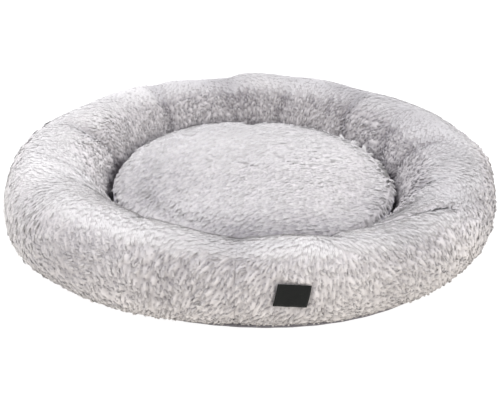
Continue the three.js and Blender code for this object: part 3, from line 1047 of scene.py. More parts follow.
def make_sleeve(name, first, last, node):
    rows = np.arange(first, last + 1) % len(backing)
    columns = [*range(0, len(ring_ways) - 1, INNER_STRIDE), len(ring_ways) - 1]
    outer, inner = backing[rows].copy(), (ring_form - ring_normals * SLEEVE_CLOTH)[rows][:, columns]
    inner[..., 2] = np.maximum(inner[..., 2], FOOT_LEVEL)
    for grid in (outer, inner):
        grid[0] += (grid[1] - grid[0]) * SEAM_PINCH
        grid[-1] += (grid[-2] - grid[-1]) * SEAM_PINCH
    sleeve = dress(half_ring_shell(name, outer, inner, columns), backing_finish, "bed", [node])
    tints = ring_tints[rows]
    set_tint(sleeve, np.concatenate([tints, tints[:, columns[::-1]]], 1))


make_sleeve("sleeve_left", 0, LEFT_STEPS, "sleeve_left_half")
make_sleeve("sleeve_right", LEFT_STEPS, LEFT_STEPS + RIGHT_STEPS, "sleeve_right_half")

# %% [markdown]
# The fibrefill shows in no photograph, but it is what makes the ring a ring. It is one soft tube that
# follows the sleeve from inside, a little smaller, with a lumpy surface.

# %% Fibrefill in the ring
FILL_CLEARANCE = 1.5 * MM
FILL_LUMP = 1.5 * MM
FILL_LUMP_SIZE = 9 * MM
FILL_LOWEST = FOOT_LEVEL + 2 * MM
FILL_STRIDE = 4
FILL_FLOOR_STEPS = 8


def lumps(points, size):
    """Soft unevenness from three crossed waves, between 0 and 1."""
    x, y, z = np.moveaxis(points / size, -1, 0)
    return 0.5 + (np.sin(x + 2 * np.sin(y)) + np.sin(y + 2 * np.sin(z)) + np.sin(z + 2 * np.sin(x))) / 6


fill_depth = SLEEVE_CLOTH + FILL_CLEARANCE + lumps(ring_form, FILL_LUMP_SIZE) * FILL_LUMP
fill_skin = ring_form - ring_normals * fill_depth[..., None]
fill_skin[..., 2] = np.maximum(fill_skin[..., 2], FILL_LOWEST)
fill_tube = closed_tube(fill_skin[::FILL_STRIDE, ::FILL_STRIDE], FILL_FLOOR_STEPS)
fill_faces = grid_faces(*fill_tube.shape[:2], True, True)
ring_fill = dress(new_object("bolster_fibrefill", fill_tube, fill_faces), fibre_finish, "bed",
                  ["bolster_filling"])

# %% [markdown]
# The cushion is three pieces: its plush top, its plain underside that curves up to meet the top at the
# seam, and its filling. The underside's cloth is gathered a little into the seam, so its edge ripples.

# %% Cushion pieces
COVER_CLOTH = 2 * MM
SEAM_RIPPLES = 48
SEAM_RIPPLE_DEPTH = 1.2 * MM
BELLY_STRIDE = 4


def make_cushion():
    top_inner = cushion_form - top_normals * COVER_CLOTH
    top = dress(round_shell("cushion_plush", cushion_top, top_inner), backing_finish, "cushion",
                ["cushion_top_panel"])
    tints = np.concatenate([cushion_tints[:, 1:], cushion_tints[:, :0:-1]], 1)
    set_tint(top, np.append(tints, (CUSHION_TINT, 0)))
    belly_columns = [*range(0, CUSHION_STEPS - 1, BELLY_STRIDE), CUSHION_STEPS - 1]
    ripple = 1 + SEAM_RIPPLE_DEPTH * np.cos(SEAM_RIPPLES * cushion_angles) * cushion_shares**4 / BED_RADIUS
    belly = drawn_belly * np.dstack([ripple, ripple, np.ones_like(ripple)])
    belly[:, -1] = cushion_top[:, -1] - (0, 0, COVER_CLOTH)
    belly = belly[::2, belly_columns]
    belly_inner = belly + (0, 0, COVER_CLOTH)
    belly_inner[..., :2] *= 1 - COVER_CLOTH / BED_RADIUS * 2
    underside = dress(round_shell("cushion_underside", belly_inner, belly), lining_finish, "cushion",
                      ["cushion_bottom_panel"])
    stuffing_top = (cushion_form - top_normals * (2 * COVER_CLOTH))[::2, belly_columns]
    stuffing_belly = belly_inner + (0, 0, COVER_CLOTH)
    inward = 1 - 4 * COVER_CLOTH / BED_RADIUS
    stuffing_top[..., :2] *= inward
    stuffing_belly[..., :2] *= inward
    stuffing = dress(round_shell("cushion_fibrefill", stuffing_top, stuffing_belly), fibre_finish,
                     "cushion", ["cushion_filling"])


make_cushion()


# %% [markdown]
# A lock of pile is a bundle of fibres with a shared root that bend over together. The bed has over ten
# thousand locks, so a fibre is only a pointed spike with three sides, and a lock keeps each point's
# shade and its way along the fibre for the finish to read. All locks lie on one shelf, a collection
# that the planting tree picks from.

# %% Building a lock
RIDGE_TONE = 0.8
lock_shelf = bpy.data.collections.new("lock_shelf")


class Lock:
    """Gathers the points and faces of a lock, with each point's shade and its way along."""

    def __init__(self):
        self.points, self.faces, self.ways, self.tones = [], [], [], []

    def spike(self, centre, shares, radii, sides, start, tone, flute=0.0, flat=1.0):
        """A pointed body round a centre line, whose radius alternates by the flute from side to side."""
        first = len(self.points)
        for share, radius in zip(shares, radii):
            for side in range(sides):
                turn = start + 2 * math.pi * side / sides
                ridge = 1 - 2 * (side % 2)
                rim = radius * (1 + flute * ridge) * np.array([math.cos(turn) * flat, math.sin(turn), 0])
                self.points.append(centre(share) + rim)
                self.ways.append(share)
                self.tones.append(tone + RIDGE_TONE * ridge * (flute > 0))
        self.points.append(centre(1.0))
        self.ways.append(1.0)
        self.tones.append(tone)
        tip = len(self.points) - 1
        self.faces.append([first + side for side in reversed(range(sides))])
        for level in range(len(shares)):
            low = first + level * sides
            for side in range(sides):
                after = (side + 1) % sides
                if level + 1 < len(shares):
                    self.faces.append([low + side, low + after, low + sides + after, low + sides + side])
                else:
                    self.faces.append([low + side, low + after, tip])

    def shelved(self, name):
        """The lock as an object of its own, out of the scene and on the shelf."""
        lock = new_object(name, self.points, self.faces)
        bpy.context.scene.collection.objects.unlink(lock)
        for key, values in (("along", self.ways), ("tone", self.tones)):
            lock.data.attributes.new(key, "FLOAT", "POINT").data.foreach_set("value", values)
        lock_shelf.objects.link(lock)


# %% [markdown]
# Straight locks suit the brushed crest and the cushion. Their twelve fibres stand on a narrow oval, at
# the golden angle from each other, so none hides the next. They are longest in the middle, drawn
# together at their tips, and every sixth one has a bend more.

# %% Straight locks
VARIANTS = 3
STRAIGHT_SEED = 31
FIBRES = 12
BENT_EVERY = 6
FIBRE_SIDES = 3
FIBRE_WIDTH = 1.7 * MM
FIBRE_FLATNESS = 0.12
FIBRE_SHARES = (0.0, 0.55)
FIBRE_WIDTH_SHARES = (0.9, 1.0)
LOCK_LENGTH = 10.5 * MM
LOCK_MIDDLE_SHARE = 1.08
LOCK_EDGE_LOSS = 0.28
LOCK_LENGTH_SHARES = (0.9, 1.08)
LOCK_SPREAD = 4.2 * MM
ROOT_FLATNESS = 0.3
LOCK_BEND = 2.5 * MM
LOCK_GATHER = 0.15
LOCK_TWIST = 0.15
GOLDEN_TURN = math.radians(137.5)


def make_lock(name, seed):
    """Straight fibres along +Z, bending towards +X."""
    random = np.random.default_rng(seed)
    lock = Lock()
    for k in range(FIBRES):
        twist = random.uniform(-LOCK_TWIST, LOCK_TWIST)
        spot = GOLDEN_TURN * k + twist
        out = math.sqrt((k + 0.5) / FIBRES)
        root = LOCK_SPREAD * out * np.array([math.cos(spot) * ROOT_FLATNESS, math.sin(spot), 0])
        length = LOCK_LENGTH * (LOCK_MIDDLE_SHARE - LOCK_EDGE_LOSS * out**2)
        length *= random.uniform(*LOCK_LENGTH_SHARES)

        def centre(share):
            return root * (1 - LOCK_GATHER * share) + np.array([LOCK_BEND * share**2, 0, length * share])

        rings = len(FIBRE_SHARES) if k % BENT_EVERY == 0 else 1
        radii = [FIBRE_WIDTH / 2 * share for share in FIBRE_WIDTH_SHARES[:rings]]
        tone = random.uniform(-1, 1)
        lock.spike(centre, FIBRE_SHARES[:rings], radii, FIBRE_SIDES, twist, tone, flat=FIBRE_FLATNESS)
    lock.shelved(name)


for variant in range(VARIANTS):
    make_lock(f"lock_{variant}_straight", STRAIGHT_SEED + variant)

# %% [markdown]
# On the walls the pile has curled, so a lock there is mostly a tuft: one fluted body that bends over
# and wavers a little from side to side, with five loose fibres round it.

# %% Curled tufts
TUFT_SEED = 61
TUFT_LENGTH = 12.5 * MM
TUFT_LENGTH_SHARES = (0.92, 1.08)
TUFT_DROOP = 0.45
TUFT_WIDTH = 3.9 * MM
TUFT_FLATNESS = 0.7
TUFT_SHARES = (0.0, 0.4, 0.75, 0.93)
TUFT_WIDTH_SHARES = (0.8, 1.0, 0.8, 0.4)
TUFT_SIDES = 6
TUFT_FLUTE = 0.12
TUFT_BEND = 6.5 * MM
TUFT_CURL = 2.0 * MM
TUFT_CURL_TURN = 3.5
TUFT_HAIRS = 5
HAIR_WIDTH = 1.1 * MM
HAIR_RING_SHARE = 0.42
HAIR_GATHER = 0.6
HAIR_LENGTH_SHARES = (0.85, 1.15)


def make_tuft(name, seed):
    """A curled tuft along +Z: one fluted body that bends towards +X, with a few loose fibres."""
    random = np.random.default_rng(seed)
    tuft = Lock()
    phase = random.uniform(0, 2 * math.pi)
    length = TUFT_LENGTH * random.uniform(*TUFT_LENGTH_SHARES)

    def centre(share):
        curl = TUFT_CURL * math.sin(phase + TUFT_CURL_TURN * share)
        return np.array([TUFT_BEND * share**2, curl * share, length * share * (1 - TUFT_DROOP * share**2)])

    radii = [TUFT_WIDTH / 2 * share for share in TUFT_WIDTH_SHARES]
    tuft.spike(centre, TUFT_SHARES, radii, TUFT_SIDES, phase, 0.0, TUFT_FLUTE, TUFT_FLATNESS)
    for k in range(TUFT_HAIRS):
        spot = phase + 2 * math.pi * k / TUFT_HAIRS
        side = TUFT_WIDTH * HAIR_RING_SHARE * np.array([math.cos(spot) * TUFT_FLATNESS, math.sin(spot), 0])
        reach = random.uniform(*HAIR_LENGTH_SHARES)

        def hair(share):
            return centre(share * reach) + side * (1 - HAIR_GATHER * share)

        tuft.spike(hair, FIBRE_SHARES[:1], [HAIR_WIDTH / 2], FIBRE_SIDES, spot, random.uniform(-1, 1))
    tuft.shelved(name)


for variant in range(VARIANTS):
    make_tuft(f"lock_{VARIANTS + variant}_tuft", TUFT_SEED + variant)

# %% [markdown]
# Three things repeat here by the hundred: locks, stitches and dots. Each has a tree of Geometry Nodes
# with named inputs, which ends in plain geometry with its finish. A modifier's input is set by its
# socket's identifier, so one helper sets them all, makes the plain mesh, and takes the modifier away.


# %% From a tree to a mesh
def new_tree(name, source, inputs, result):
    """A tree with named inputs. Returns it with its wires and the inputs."""
    tree = bpy.data.node_groups.new(name, "GeometryNodeTree")
    for label, kind in [(source, "Geometry"), *inputs]:
        tree.interface.new_socket(label, in_out="INPUT", socket_type=f"NodeSocket{kind}")
    tree.interface.new_socket(result, in_out="OUTPUT", socket_type="NodeSocketGeometry")
    wires = Wires(tree)
    return tree, wires, wires.node("NodeGroupInput")


def made_plain(wires, instances):
    return wires.node("GeometryNodeRealizeInstances", {}, {"Geometry": instances})[0]


def end_tree(wires, geometry, finish):
    finished = wires.node("GeometryNodeSetMaterial", {}, {"Geometry": geometry, "Material": finish})[0]
    wires.node("NodeGroupOutput", {}, {0: finished})


def grown(name, source, tree, values):
    """A new object with the plain mesh that a tree makes on the source object."""
    modifier = source.modifiers.new("tree", "NODES")
    modifier.node_group = tree
    for item in tree.interface.items_tree:
        if item.in_out == "INPUT" and item.name in values:
            modifier[item.identifier] = values[item.name]
    mesh = evaluated_mesh(source)
    source.modifiers.clear()
    mesh.name = name
    piece = bpy.data.objects.new(name, mesh)
    bpy.context.scene.collection.objects.link(piece)
    return piece


# %% [markdown]
# Geometry Nodes plant the locks. Points are scattered on the backing at an even spacing, with a fixed
# seed, so every run plants the same pile. The backing carries how the pile is combed at each point, how
# much it stands up, how long it is and how often a lock is a tuft. One tree plants any piece: it keeps
# only the points between two angles, because a piece with too many triangles would be thinned in the
# library. Round the label it keeps the pile short.

# %% Where locks are planted
LOCK_SPACING = 5.2 * MM
MOST_LOCKS = 90000.0
PLANT_SEED = 7
PLANTING_INPUTS = [
    ("Locks", "Collection"), ("Finish", "Material"), ("Spacing", "Float"), ("First angle", "Float"),
    ("Last angle", "Float"), ("Label middle", "Vector"), ("Label along", "Vector"), ("Label up", "Vector"),
]


def attribute(wires, name, kind="FLOAT"):
    return wires.node("GeometryNodeInputNamedAttribute", {"data_type": kind}, {"Name": name})[0]


def chance(wires, low, high, seed):
    """A random number that each lock has for itself."""
    return wires.node("FunctionNodeRandomValue", {"data_type": "FLOAT"}, {2: low, 3: high, "Seed": seed})[1]


def scattered(wires, given, apart):
    """Points between the two angles, moved from the drawn form to the settled one."""
    points = wires.node(
        "GeometryNodeDistributePointsOnFaces", {"distribute_method": "POISSON"},
        {"Mesh": given["Backing"], "Distance Min": given["Spacing"], "Density Max": MOST_LOCKS,
         "Density Factor": attribute(wires, "full"), "Seed": PLANT_SEED})["Points"]
    angle = wires.maths("ARCTAN2", apart[1], apart[0])
    early = wires.maths("LESS_THAN", angle, given["First angle"])
    late = 1 - wires.maths("LESS_THAN", angle, given["Last angle"])
    kept = wires.node("GeometryNodeDeleteGeometry", {"domain": "POINT"}, {
        "Geometry": points, "Selection": wires.maths("GREATER_THAN", early + late, 0.5)})[0]
    return wires.node("GeometryNodeSetPosition", {}, {
        "Geometry": kept, "Offset": attribute(wires, "settle", "FLOAT_VECTOR")})[0]


def pressed_by_label(wires, given, place, apart):
    """1 round the label on the front wall, and 0 elsewhere."""
    off = wires.vector("SUBTRACT", place, given["Label middle"])

    def within(axis):
        """1 where the point is nearer the label's middle than the axis is long."""
        along = wires.maths("ABSOLUTE", wires.dot(off, given[axis]), 0.0)
        return wires.maths("LESS_THAN", along, wires.dot(given[axis], given[axis]))

    return within("Label along") * within("Label up") * wires.maths("LESS_THAN", apart[1], 0.0)


print("lock spacing", round(LOCK_SPACING / MM, 1), "mm")

# %% [markdown]
# A lock leans the way it is combed. Slow noise pulls neighbours the same way, which is what parts real
# pile into clumps, and each lock is then tilted a little by chance. Both are weak where the pile has
# been brushed.

# %% How locks lean
CLUMP_SCALE = 60.0
CLUMP_PULL = 0.95
CLUMP_LIFT = 0.9
LOCK_TILT = 0.22
LOCK_TURN = 0.8
CALM_WAVER = 0.05


def leaning(wires, place, stray, out):
    """The turn of each lock from upright to the way it lies."""
    clumps = wires.node("ShaderNodeTexNoise", {}, {"Vector": place, "Scale": CLUMP_SCALE, "Detail": 1.0})
    pull = wires.vector("SUBTRACT", clumps[1], (0.5, 0.5, 0.5))
    pull = wires.scaled(pull, stray * (2 * CLUMP_PULL))
    pull = wires.vector("SUBTRACT", pull, wires.vector("PROJECT", pull, out))
    lift = attribute(wires, "lift") * ((clumps[0] - 0.5) * stray * (2 * CLUMP_LIFT) + 1)
    comb = wires.vector("ADD", attribute(wires, "comb", "FLOAT_VECTOR"), pull)
    facing = wires.node("FunctionNodeAxesToRotation", {"primary_axis": "Z", "secondary_axis": "X"}, {
        "Primary Axis": wires.vector("ADD", wires.scaled(out, lift), comb), "Secondary Axis": comb})[0]
    waver = stray + CALM_WAVER
    tilt = wires.node("ShaderNodeCombineXYZ", {}, {
        0: chance(wires, -LOCK_TILT, LOCK_TILT, 1) * waver,
        1: chance(wires, -LOCK_TILT, LOCK_TILT, 2) * waver,
        2: chance(wires, -LOCK_TURN, LOCK_TURN, 3) * waver})[0]
    tilt = wires.node("FunctionNodeEulerToRotation", {}, {0: tilt})[0]
    return wires.node("FunctionNodeRotateRotation", {"rotation_space": "LOCAL"}, {0: facing, 1: tilt})[0]


# %% [markdown]
# The pile's map gets the lock's shade across and the way along the fibre up. The painted shade at the
# roots is weaker where the pile has been brushed, so there its roots are nearly as light as its tips. Thin
# spikes would glitter one by one, so a lock's normals are blended with the backing's own, and the pile is
# lit as one surface.

# %% Shade and normals of the locks
TONE_SHARE = 0.06
MAP_MARGIN = 0.03


def mapped(wires, pile):
    """The pile with its map."""
    shade = attribute(wires, "shade") + attribute(wires, "tone") * TONE_SHARE
    across = wires.node("ShaderNodeClamp", {}, {
        "Value": shade, "Min": MAP_MARGIN, "Max": 1 - MAP_MARGIN})[0]
    along = 1 - (1 - attribute(wires, "along")) * (1 - attribute(wires, "evenness"))
    along = along * (1 - 2 * MAP_MARGIN) + MAP_MARGIN
    on_map = wires.node("ShaderNodeCombineXYZ", {}, {0: across, 1: along})[0]
    return wires.node("GeometryNodeStoreNamedAttribute", {"data_type": "FLOAT2", "domain": "CORNER"}, {
        "Geometry": pile, "Name": PILE_MAP, "Value": on_map})[0]


def lit_as_one(wires, pile):
    """The pile with normals between its own and the backing's."""
    smooth = wires.node("GeometryNodeSetShadeSmooth", {}, {"Geometry": pile})[0]
    own = wires.node("GeometryNodeInputNormal")[0]
    blend = wires.node("ShaderNodeMix", {"data_type": "VECTOR"}, {
        0: attribute(wires, "softness"), 4: own, 5: attribute(wires, "skin", "FLOAT_VECTOR")})[1]
    return wires.node("GeometryNodeSetMeshNormal", {"mode": "FREE", "domain": "POINT"}, {
        "Mesh": smooth, "Custom Normal": blend})[0]


# %% [markdown]
# The whole tree: each point gets a straight lock or a tuft, turned and scaled to lie as the backing
# says. What a lock needs to know of its place is stored on it before it becomes plain geometry, and no
# fibre may reach the floor.

# %% The planting tree
LAST_VARIANT = VARIANTS - 0.01
LOCK_SIZES = (0.82, 1.2)
PRESSED_REACH = 0.4
SHADE_SCALE = 14.0
SHADE_DRIFT = 0.2
SHADE_CHANCE = 0.12
# Tufts are painted darker: painted shade for the light lost inside a real curl of fibres.
TUFT_PAINTED_SHADE = 0.32
# How much of the painted shade at the roots brushed pile loses.
CALM_EVENNESS = 0.95
CLEAR_OF_FLOOR = 1 * MM


def make_planting_tree():
    tree, wires, given = new_tree("planting", "Backing", PLANTING_INPUTS, "Pile")
    place = wires.node("GeometryNodeInputPosition")[0]
    apart = wires.node("ShaderNodeSeparateXYZ", {}, {0: place})
    stray, out = attribute(wires, "stray"), attribute(wires, "out", "FLOAT_VECTOR")
    tufted = wires.maths("LESS_THAN", chance(wires, 0.0, 1.0, 4), attribute(wires, "tufted"))
    variant = wires.maths("FLOOR", chance(wires, 0.0, LAST_VARIANT, 5), 0.0) + tufted * VARIANTS
    pressed = pressed_by_label(wires, given, place, apart)
    reach = attribute(wires, "reach") * chance(wires, *LOCK_SIZES, 6) * (1 - pressed * (1 - PRESSED_REACH))
    locks = wires.node("GeometryNodeCollectionInfo", {"transform_space": "ORIGINAL"}, {
        "Collection": given["Locks"], "Separate Children": True, "Reset Children": True})[0]
    planted = wires.node("GeometryNodeInstanceOnPoints", {}, {
        "Points": scattered(wires, given, apart), "Instance": locks, "Pick Instance": True,
        "Instance Index": variant, "Rotation": leaning(wires, place, stray, out), "Scale": reach})[0]
    slow = wires.node("ShaderNodeTexNoise", {}, {"Vector": place, "Scale": SHADE_SCALE, "Detail": 2.0})[0]
    # A lock's shade is its tint, with the painted light and shade in it, a slow drift and a chance of its
    # own; tufts get more painted shade.
    shade = attribute(wires, "tint") + (slow - 0.5) * SHADE_DRIFT
    shade = shade + chance(wires, -SHADE_CHANCE, SHADE_CHANCE, 8) * stray - tufted * TUFT_PAINTED_SHADE
    for name, kind, value in (("shade", "FLOAT", shade), ("skin", "FLOAT_VECTOR", out),
                              ("softness", "FLOAT", attribute(wires, "soft")),
                              ("evenness", "FLOAT", attribute(wires, "calm") * CALM_EVENNESS)):
        planted = wires.node("GeometryNodeStoreNamedAttribute", {"data_type": kind, "domain": "INSTANCE"}, {
            "Geometry": planted, "Name": name, "Value": value})[0]
    lowest = wires.node("ShaderNodeCombineXYZ", {}, {
        0: apart[0], 1: apart[1], 2: wires.maths("MAXIMUM", apart[2], CLEAR_OF_FLOOR)})[0]
    pile = wires.node("GeometryNodeSetPosition", {}, {
        "Geometry": made_plain(wires, planted), "Position": lowest})[0]
    end_tree(wires, lit_as_one(wires, mapped(wires, pile)), given["Finish"])
    return tree


planting_tree = make_planting_tree()
print("planting tree", len(planting_tree.nodes), "nodes")

# %% [markdown]
# A carrier is a plain surface to plant on. Its points carry, as attributes, which way is out, which way
# the pile is combed, how far the settled backing lies from the drawn one, and the levels that the
# planting tree reads. The pile is planted sector by sector, so that each piece stays light.


# %% Planting on a carrier
def make_carrier(name, grid, normals, comb, settle, **levels):
    """The backing as a surface to plant on, with how the pile lies on it as its attributes."""
    carrier = new_object(name, grid, grid_faces(*grid.shape[:2], ring_rows=True))
    vectors = {"out": normals, "comb": comb, "settle": settle}
    for key, values in vectors.items():
        layer = carrier.data.attributes.new(key, "FLOAT_VECTOR", "POINT")
        layer.data.foreach_set("vector", np.ascontiguousarray(values, dtype=np.float32).ravel())
    for key, values in levels.items():
        layer = carrier.data.attributes.new(key, "FLOAT", "POINT")
        spread = np.broadcast_to(values, grid.shape[:2])
        layer.data.foreach_set("value", np.ascontiguousarray(spread, dtype=np.float32).ravel())
    return carrier


def plant(name, carrier, first, last, body):
    values = {"Locks": lock_shelf, "Finish": pile_finish, "Spacing": LOCK_SPACING,
              "First angle": first, "Last angle": last,
              "Label middle": label_centre + label_up * LABEL_PART_RISE,
              "Label along": label_along, "Label up": label_up * LABEL_PART}
    pile = grown(name, carrier, planting_tree, values)
    triangles = sum(len(face.vertices) - 2 for face in pile.data.polygons)
    print(name, triangles, "triangles")
    dress(pile, pile_finish, body)


def plant_round(name, carrier, sectors, body):
    """Plants every sector of a carrier, and takes the carrier away."""
    sector = 2 * math.pi / sectors
    for k in range(sectors):
        plant(f"{name}_{k + 1}", carrier, k * sector - math.pi, (k + 1) * sector - math.pi, body)
    bpy.data.objects.remove(carrier)


# %% [markdown]
# On the ring the pile lies outwards over the crest and down the outer wall, and follows the lean of the
# curls. Down the inner slope it stands up more, and near the foot of either wall it is pressed flat and
# cut short. Brushed pile has the softest normals, so that it is lit as one smooth surface, but less so
# on the far and the near side, where that surface turns away from the light and would go dark.

# %% Combing the ring
RING_SECTORS = 9
FOOT_WAYS_OUTSIDE = (0.15, 0.9)
FOOT_WAYS_INSIDE = (2.7, 2.9)
INNER_WAYS = (2.25, 2.7)
SWAY = 0.3
SWIRL = 1.5
SWIRL_SIZE = 45 * MM
SWIRL_CALM_LOSS = 0.75
PUFF_SPLAY = 0.7
LAY = 0.9
LAY_INNER_LOSS = 0.2
LAY_INNER_WAYS = (2.0, 2.6)
LAY_CALM_GAIN = 0.3
LAY_FOOT_GAIN = 0.4
LIFT = 0.5
LIFT_CALM_LOSS = 0.2
LIFT_INNER_GAIN = 0.35
LIFT_FOOT_LOSS = 0.2
REACH_LOW = 0.7
REACH_PUFF_GAIN = 0.25
REACH_CALM = 0.95
REACH_INNER_LOSS = 0.2
REACH_FOOT_LOSS = 0.3
REACH_WELL_LOSS = 0.5
TUFT_CALM_SHARES = (0.2, 0.8)
SOFT = 0.65
SOFT_CALM_GAIN = 0.32
SOFT_FAR_LOSS = 0.45
FAR_SHARES = (-0.4, 0.3)
FAR_WAYS = (1.6, 1.85)
SOFT_NEAR_LOSS = 0.8
NEAR_SHARES = (0.2, 0.6)
NEAR_WAYS = (2.0, 2.2)
STRAY = 0.8
STRAY_CALM_LOSS = 0.76
FULL = 0.9


def ring_combing(angle, way, foot):
    """Which way the sleeve's pile is combed, and how far it lies over."""
    along = np.roll(drawn_backing, -1, 0) - np.roll(drawn_backing, 1, 0)
    along /= np.linalg.norm(along, axis=2, keepdims=True)
    down = -np.cross(ring_normals, along)
    slant = np.arctan(curl_slant(angle)) + SWAY * np.sin(3 * way + angle)
    slant = slant + SWIRL * (1 - SWIRL_CALM_LOSS * calm_ring) * swirl(drawn_backing, SWIRL_SIZE)
    comb = down * np.cos(slant)[..., None] + along * np.sin(slant)[..., None]
    lay = LAY - LAY_INNER_LOSS * smooth_step(*LAY_INNER_WAYS, way)
    return comb * (lay + LAY_CALM_GAIN * calm_ring + LAY_FOOT_GAIN * foot)[..., None]


def make_ring_carrier():
    angle, way = ring_angles[:, None], ring_ways[None, :]
    foot = 1 - smooth_step(*FOOT_WAYS_OUTSIDE, way)
    inner = smooth_step(*INNER_WAYS, way)
    out = ring_normals + PUFF_SPLAY * (puff_normals - ring_normals)
    lift = LIFT - LIFT_CALM_LOSS * calm_ring + LIFT_INNER_GAIN * inner - LIFT_FOOT_LOSS * foot
    reach = (REACH_LOW + REACH_PUFF_GAIN * ring_puffs) * (1 - REACH_INNER_LOSS * inner)
    reach = (reach + (REACH_CALM - reach) * calm_ring) * (1 - REACH_FOOT_LOSS * foot)
    reach = reach * (1 - REACH_WELL_LOSS * smooth_step(*FOOT_WAYS_INSIDE, way))
    far = smooth_step(*FAR_SHARES, np.sin(angle)) * (1 - smooth_step(*FAR_WAYS, way))
    near = smooth_step(*NEAR_SHARES, -np.sin(angle)) * smooth_step(*NEAR_WAYS, way)
    soft = (SOFT + calm_ring * (SOFT_CALM_GAIN - SOFT_FAR_LOSS * far)) * (1 - SOFT_NEAR_LOSS * near)
    return make_carrier("ring_carrier", drawn_backing, out, ring_combing(angle, way, foot),
                        backing - drawn_backing, lift=lift, reach=reach, soft=soft,
                        tufted=1 - smooth_step(*TUFT_CALM_SHARES, calm_ring),
                        stray=STRAY - STRAY_CALM_LOSS * calm_ring, full=FULL + (1 - FULL) * calm_ring,
                        calm=calm_ring, tint=ring_tints)


plant_round("bolster_pile", make_ring_carrier(), RING_SECTORS, "bed")

# %% [markdown]
# On the cushion the pile runs slantwise on the left half and nearly level on the right, and turns
# outwards at the rim. The front half still has tufts in it, and the back half has been brushed.

# %% Combing the cushion
CUSHION_SECTORS = 3
TURN_OUT_SHARES = (0.72, 0.93)
CUSHION_LAY = 1.1
CUSHION_LIFT = 0.3
CUSHION_SOFT = 0.9
CUSHION_TUFTS = 0.5
CUSHION_STRAY = 0.14
CUSHION_EVENNESS_LOSS = 0.7
RESTLESS_LOSS = 0.75


def make_cushion_carrier():
    slant = LEFT_SLANT + (RIGHT_SLANT - LEFT_SLANT) * slant_share
    comb = -np.stack([np.cos(slant), np.sin(slant), np.zeros_like(slant)], -1)
    outward = np.gradient(drawn_top, axis=1)
    outward /= np.maximum(np.linalg.norm(outward, axis=2, keepdims=True), TINY)
    comb += (outward - comb) * smooth_step(*TURN_OUT_SHARES, cushion_shares)[None, :, None]
    comb -= (comb * top_normals).sum(-1, keepdims=True) * top_normals
    restless = 1 - RESTLESS_LOSS * calm_share[:, ::-1]
    return make_carrier("cushion_carrier", drawn_top[:, ::-1], streak_normals[:, ::-1],
                        CUSHION_LAY * comb[:, ::-1], (cushion_top - drawn_top)[:, ::-1],
                        lift=CUSHION_LIFT, reach=1.0, soft=CUSHION_SOFT, tufted=CUSHION_TUFTS * restless,
                        stray=CUSHION_STRAY * restless, full=1.0,
                        calm=1 - CUSHION_EVENNESS_LOSS * restless, tint=cushion_tints[:, ::-1])


plant_round("cushion_pile", make_cushion_carrier(), CUSHION_SECTORS, "cushion")

# %% [markdown]
# The tape itself is a thin closed grid. Its long edges are woven, its short ends are folded under, and
# it dips between its stitches, so a slow ripple runs along the rim.

# %% Woven label
LABEL_COLUMNS = 49
LABEL_ROWS = 31
LABEL_WAVE = 0.35 * MM
LABEL_WAVE_LENGTH = 3.4 * MM
LABEL_WAVE_HEIGHT = 4.1 * MM
LABEL_FOLD = 5 * MM
LABEL_FOLD_EDGE = 0.6 * MM


def make_label():
    along = np.linspace(-LABEL_LENGTH / 2, LABEL_LENGTH / 2, LABEL_COLUMNS)[:, None]
    up = np.linspace(-LABEL_HEIGHT / 2, LABEL_HEIGHT / 2, LABEL_ROWS)[None, :]
    to_edge = np.minimum(LABEL_LENGTH / 2 - np.abs(along), LABEL_HEIGHT / 2 - np.abs(up))
    drop = LABEL_RIM_DROP * (1 - smooth_step(0, LABEL_RIM, to_edge))
    wave = LABEL_WAVE * np.sin(along / LABEL_WAVE_LENGTH) * np.cos(up / LABEL_WAVE_HEIGHT + 1)
    past_fold = np.abs(along) - LABEL_LENGTH / 2 + LABEL_FOLD
    fold = LABEL_THICKNESS / 2 * smooth_step(-LABEL_FOLD_EDGE, LABEL_FOLD_EDGE, past_fold)
    height = LABEL_PROUD + wave - drop + fold
    front = label_place(along, up, height)
    back = label_place(along, up, height - LABEL_THICKNESS)
    columns, rows = front.shape[:2]
    faces = grid_faces(columns, rows)
    faces += [[corner + columns * rows for corner in face[::-1]] for face in faces]
    rim = [i * rows for i in range(columns)]
    rim += [(columns - 1) * rows + j for j in range(1, rows)]
    rim += [i * rows + rows - 1 for i in reversed(range(columns - 1))]
    rim += [j for j in reversed(range(1, rows - 1))]
    for here, after in zip(rim, rim[1:] + rim[:1]):
        faces.append([after, here, here + columns * rows, after + columns * rows])
    points = np.concatenate([front.reshape(-1, 3), back.reshape(-1, 3)])
    label = dress(new_object("label_tape", points, faces), tape_finish, "bed",
                  ["woven_label"])


make_label()

# %% [markdown]
# Stitches repeat along a path, which Geometry Nodes do well: the path is cut to an even pitch, and one
# small rounded stitch is placed along the path's direction at every cut. The same tree sews the base,
# the lining, the cushion and the label.

# %% The sewing tree
STITCH_SIDES = 6
STITCH_RINGS = [
    # place along the stitch, thickness
    (-0.5, 0.3), (-0.38, 0.85), (0.0, 1.0), (0.38, 0.85), (0.5, 0.3),
]
SEWING_INPUTS = [
    ("Stitch", "Object"), ("Finish", "Material"), ("Pitch", "Float"), ("Length", "Float"),
    ("Thickness", "Float"),
]


def make_stitch():
    """A rounded bar one unit long on X, one unit thick."""
    turns = np.arange(STITCH_SIDES) * 2 * math.pi / STITCH_SIDES
    rings = [np.stack([np.full(STITCH_SIDES, x), np.cos(turns) * size / 2, np.sin(turns) * size / 2], -1)
             for x, size in STITCH_RINGS]
    faces = grid_faces(len(rings), STITCH_SIDES, ring_columns=True)
    last = (len(rings) - 1) * STITCH_SIDES
    faces.append(list(range(STITCH_SIDES)))
    faces.append([last + side for side in reversed(range(STITCH_SIDES))])
    stitch = new_object("stitch", np.concatenate(rings), faces)
    bpy.context.scene.collection.objects.unlink(stitch)
    return stitch


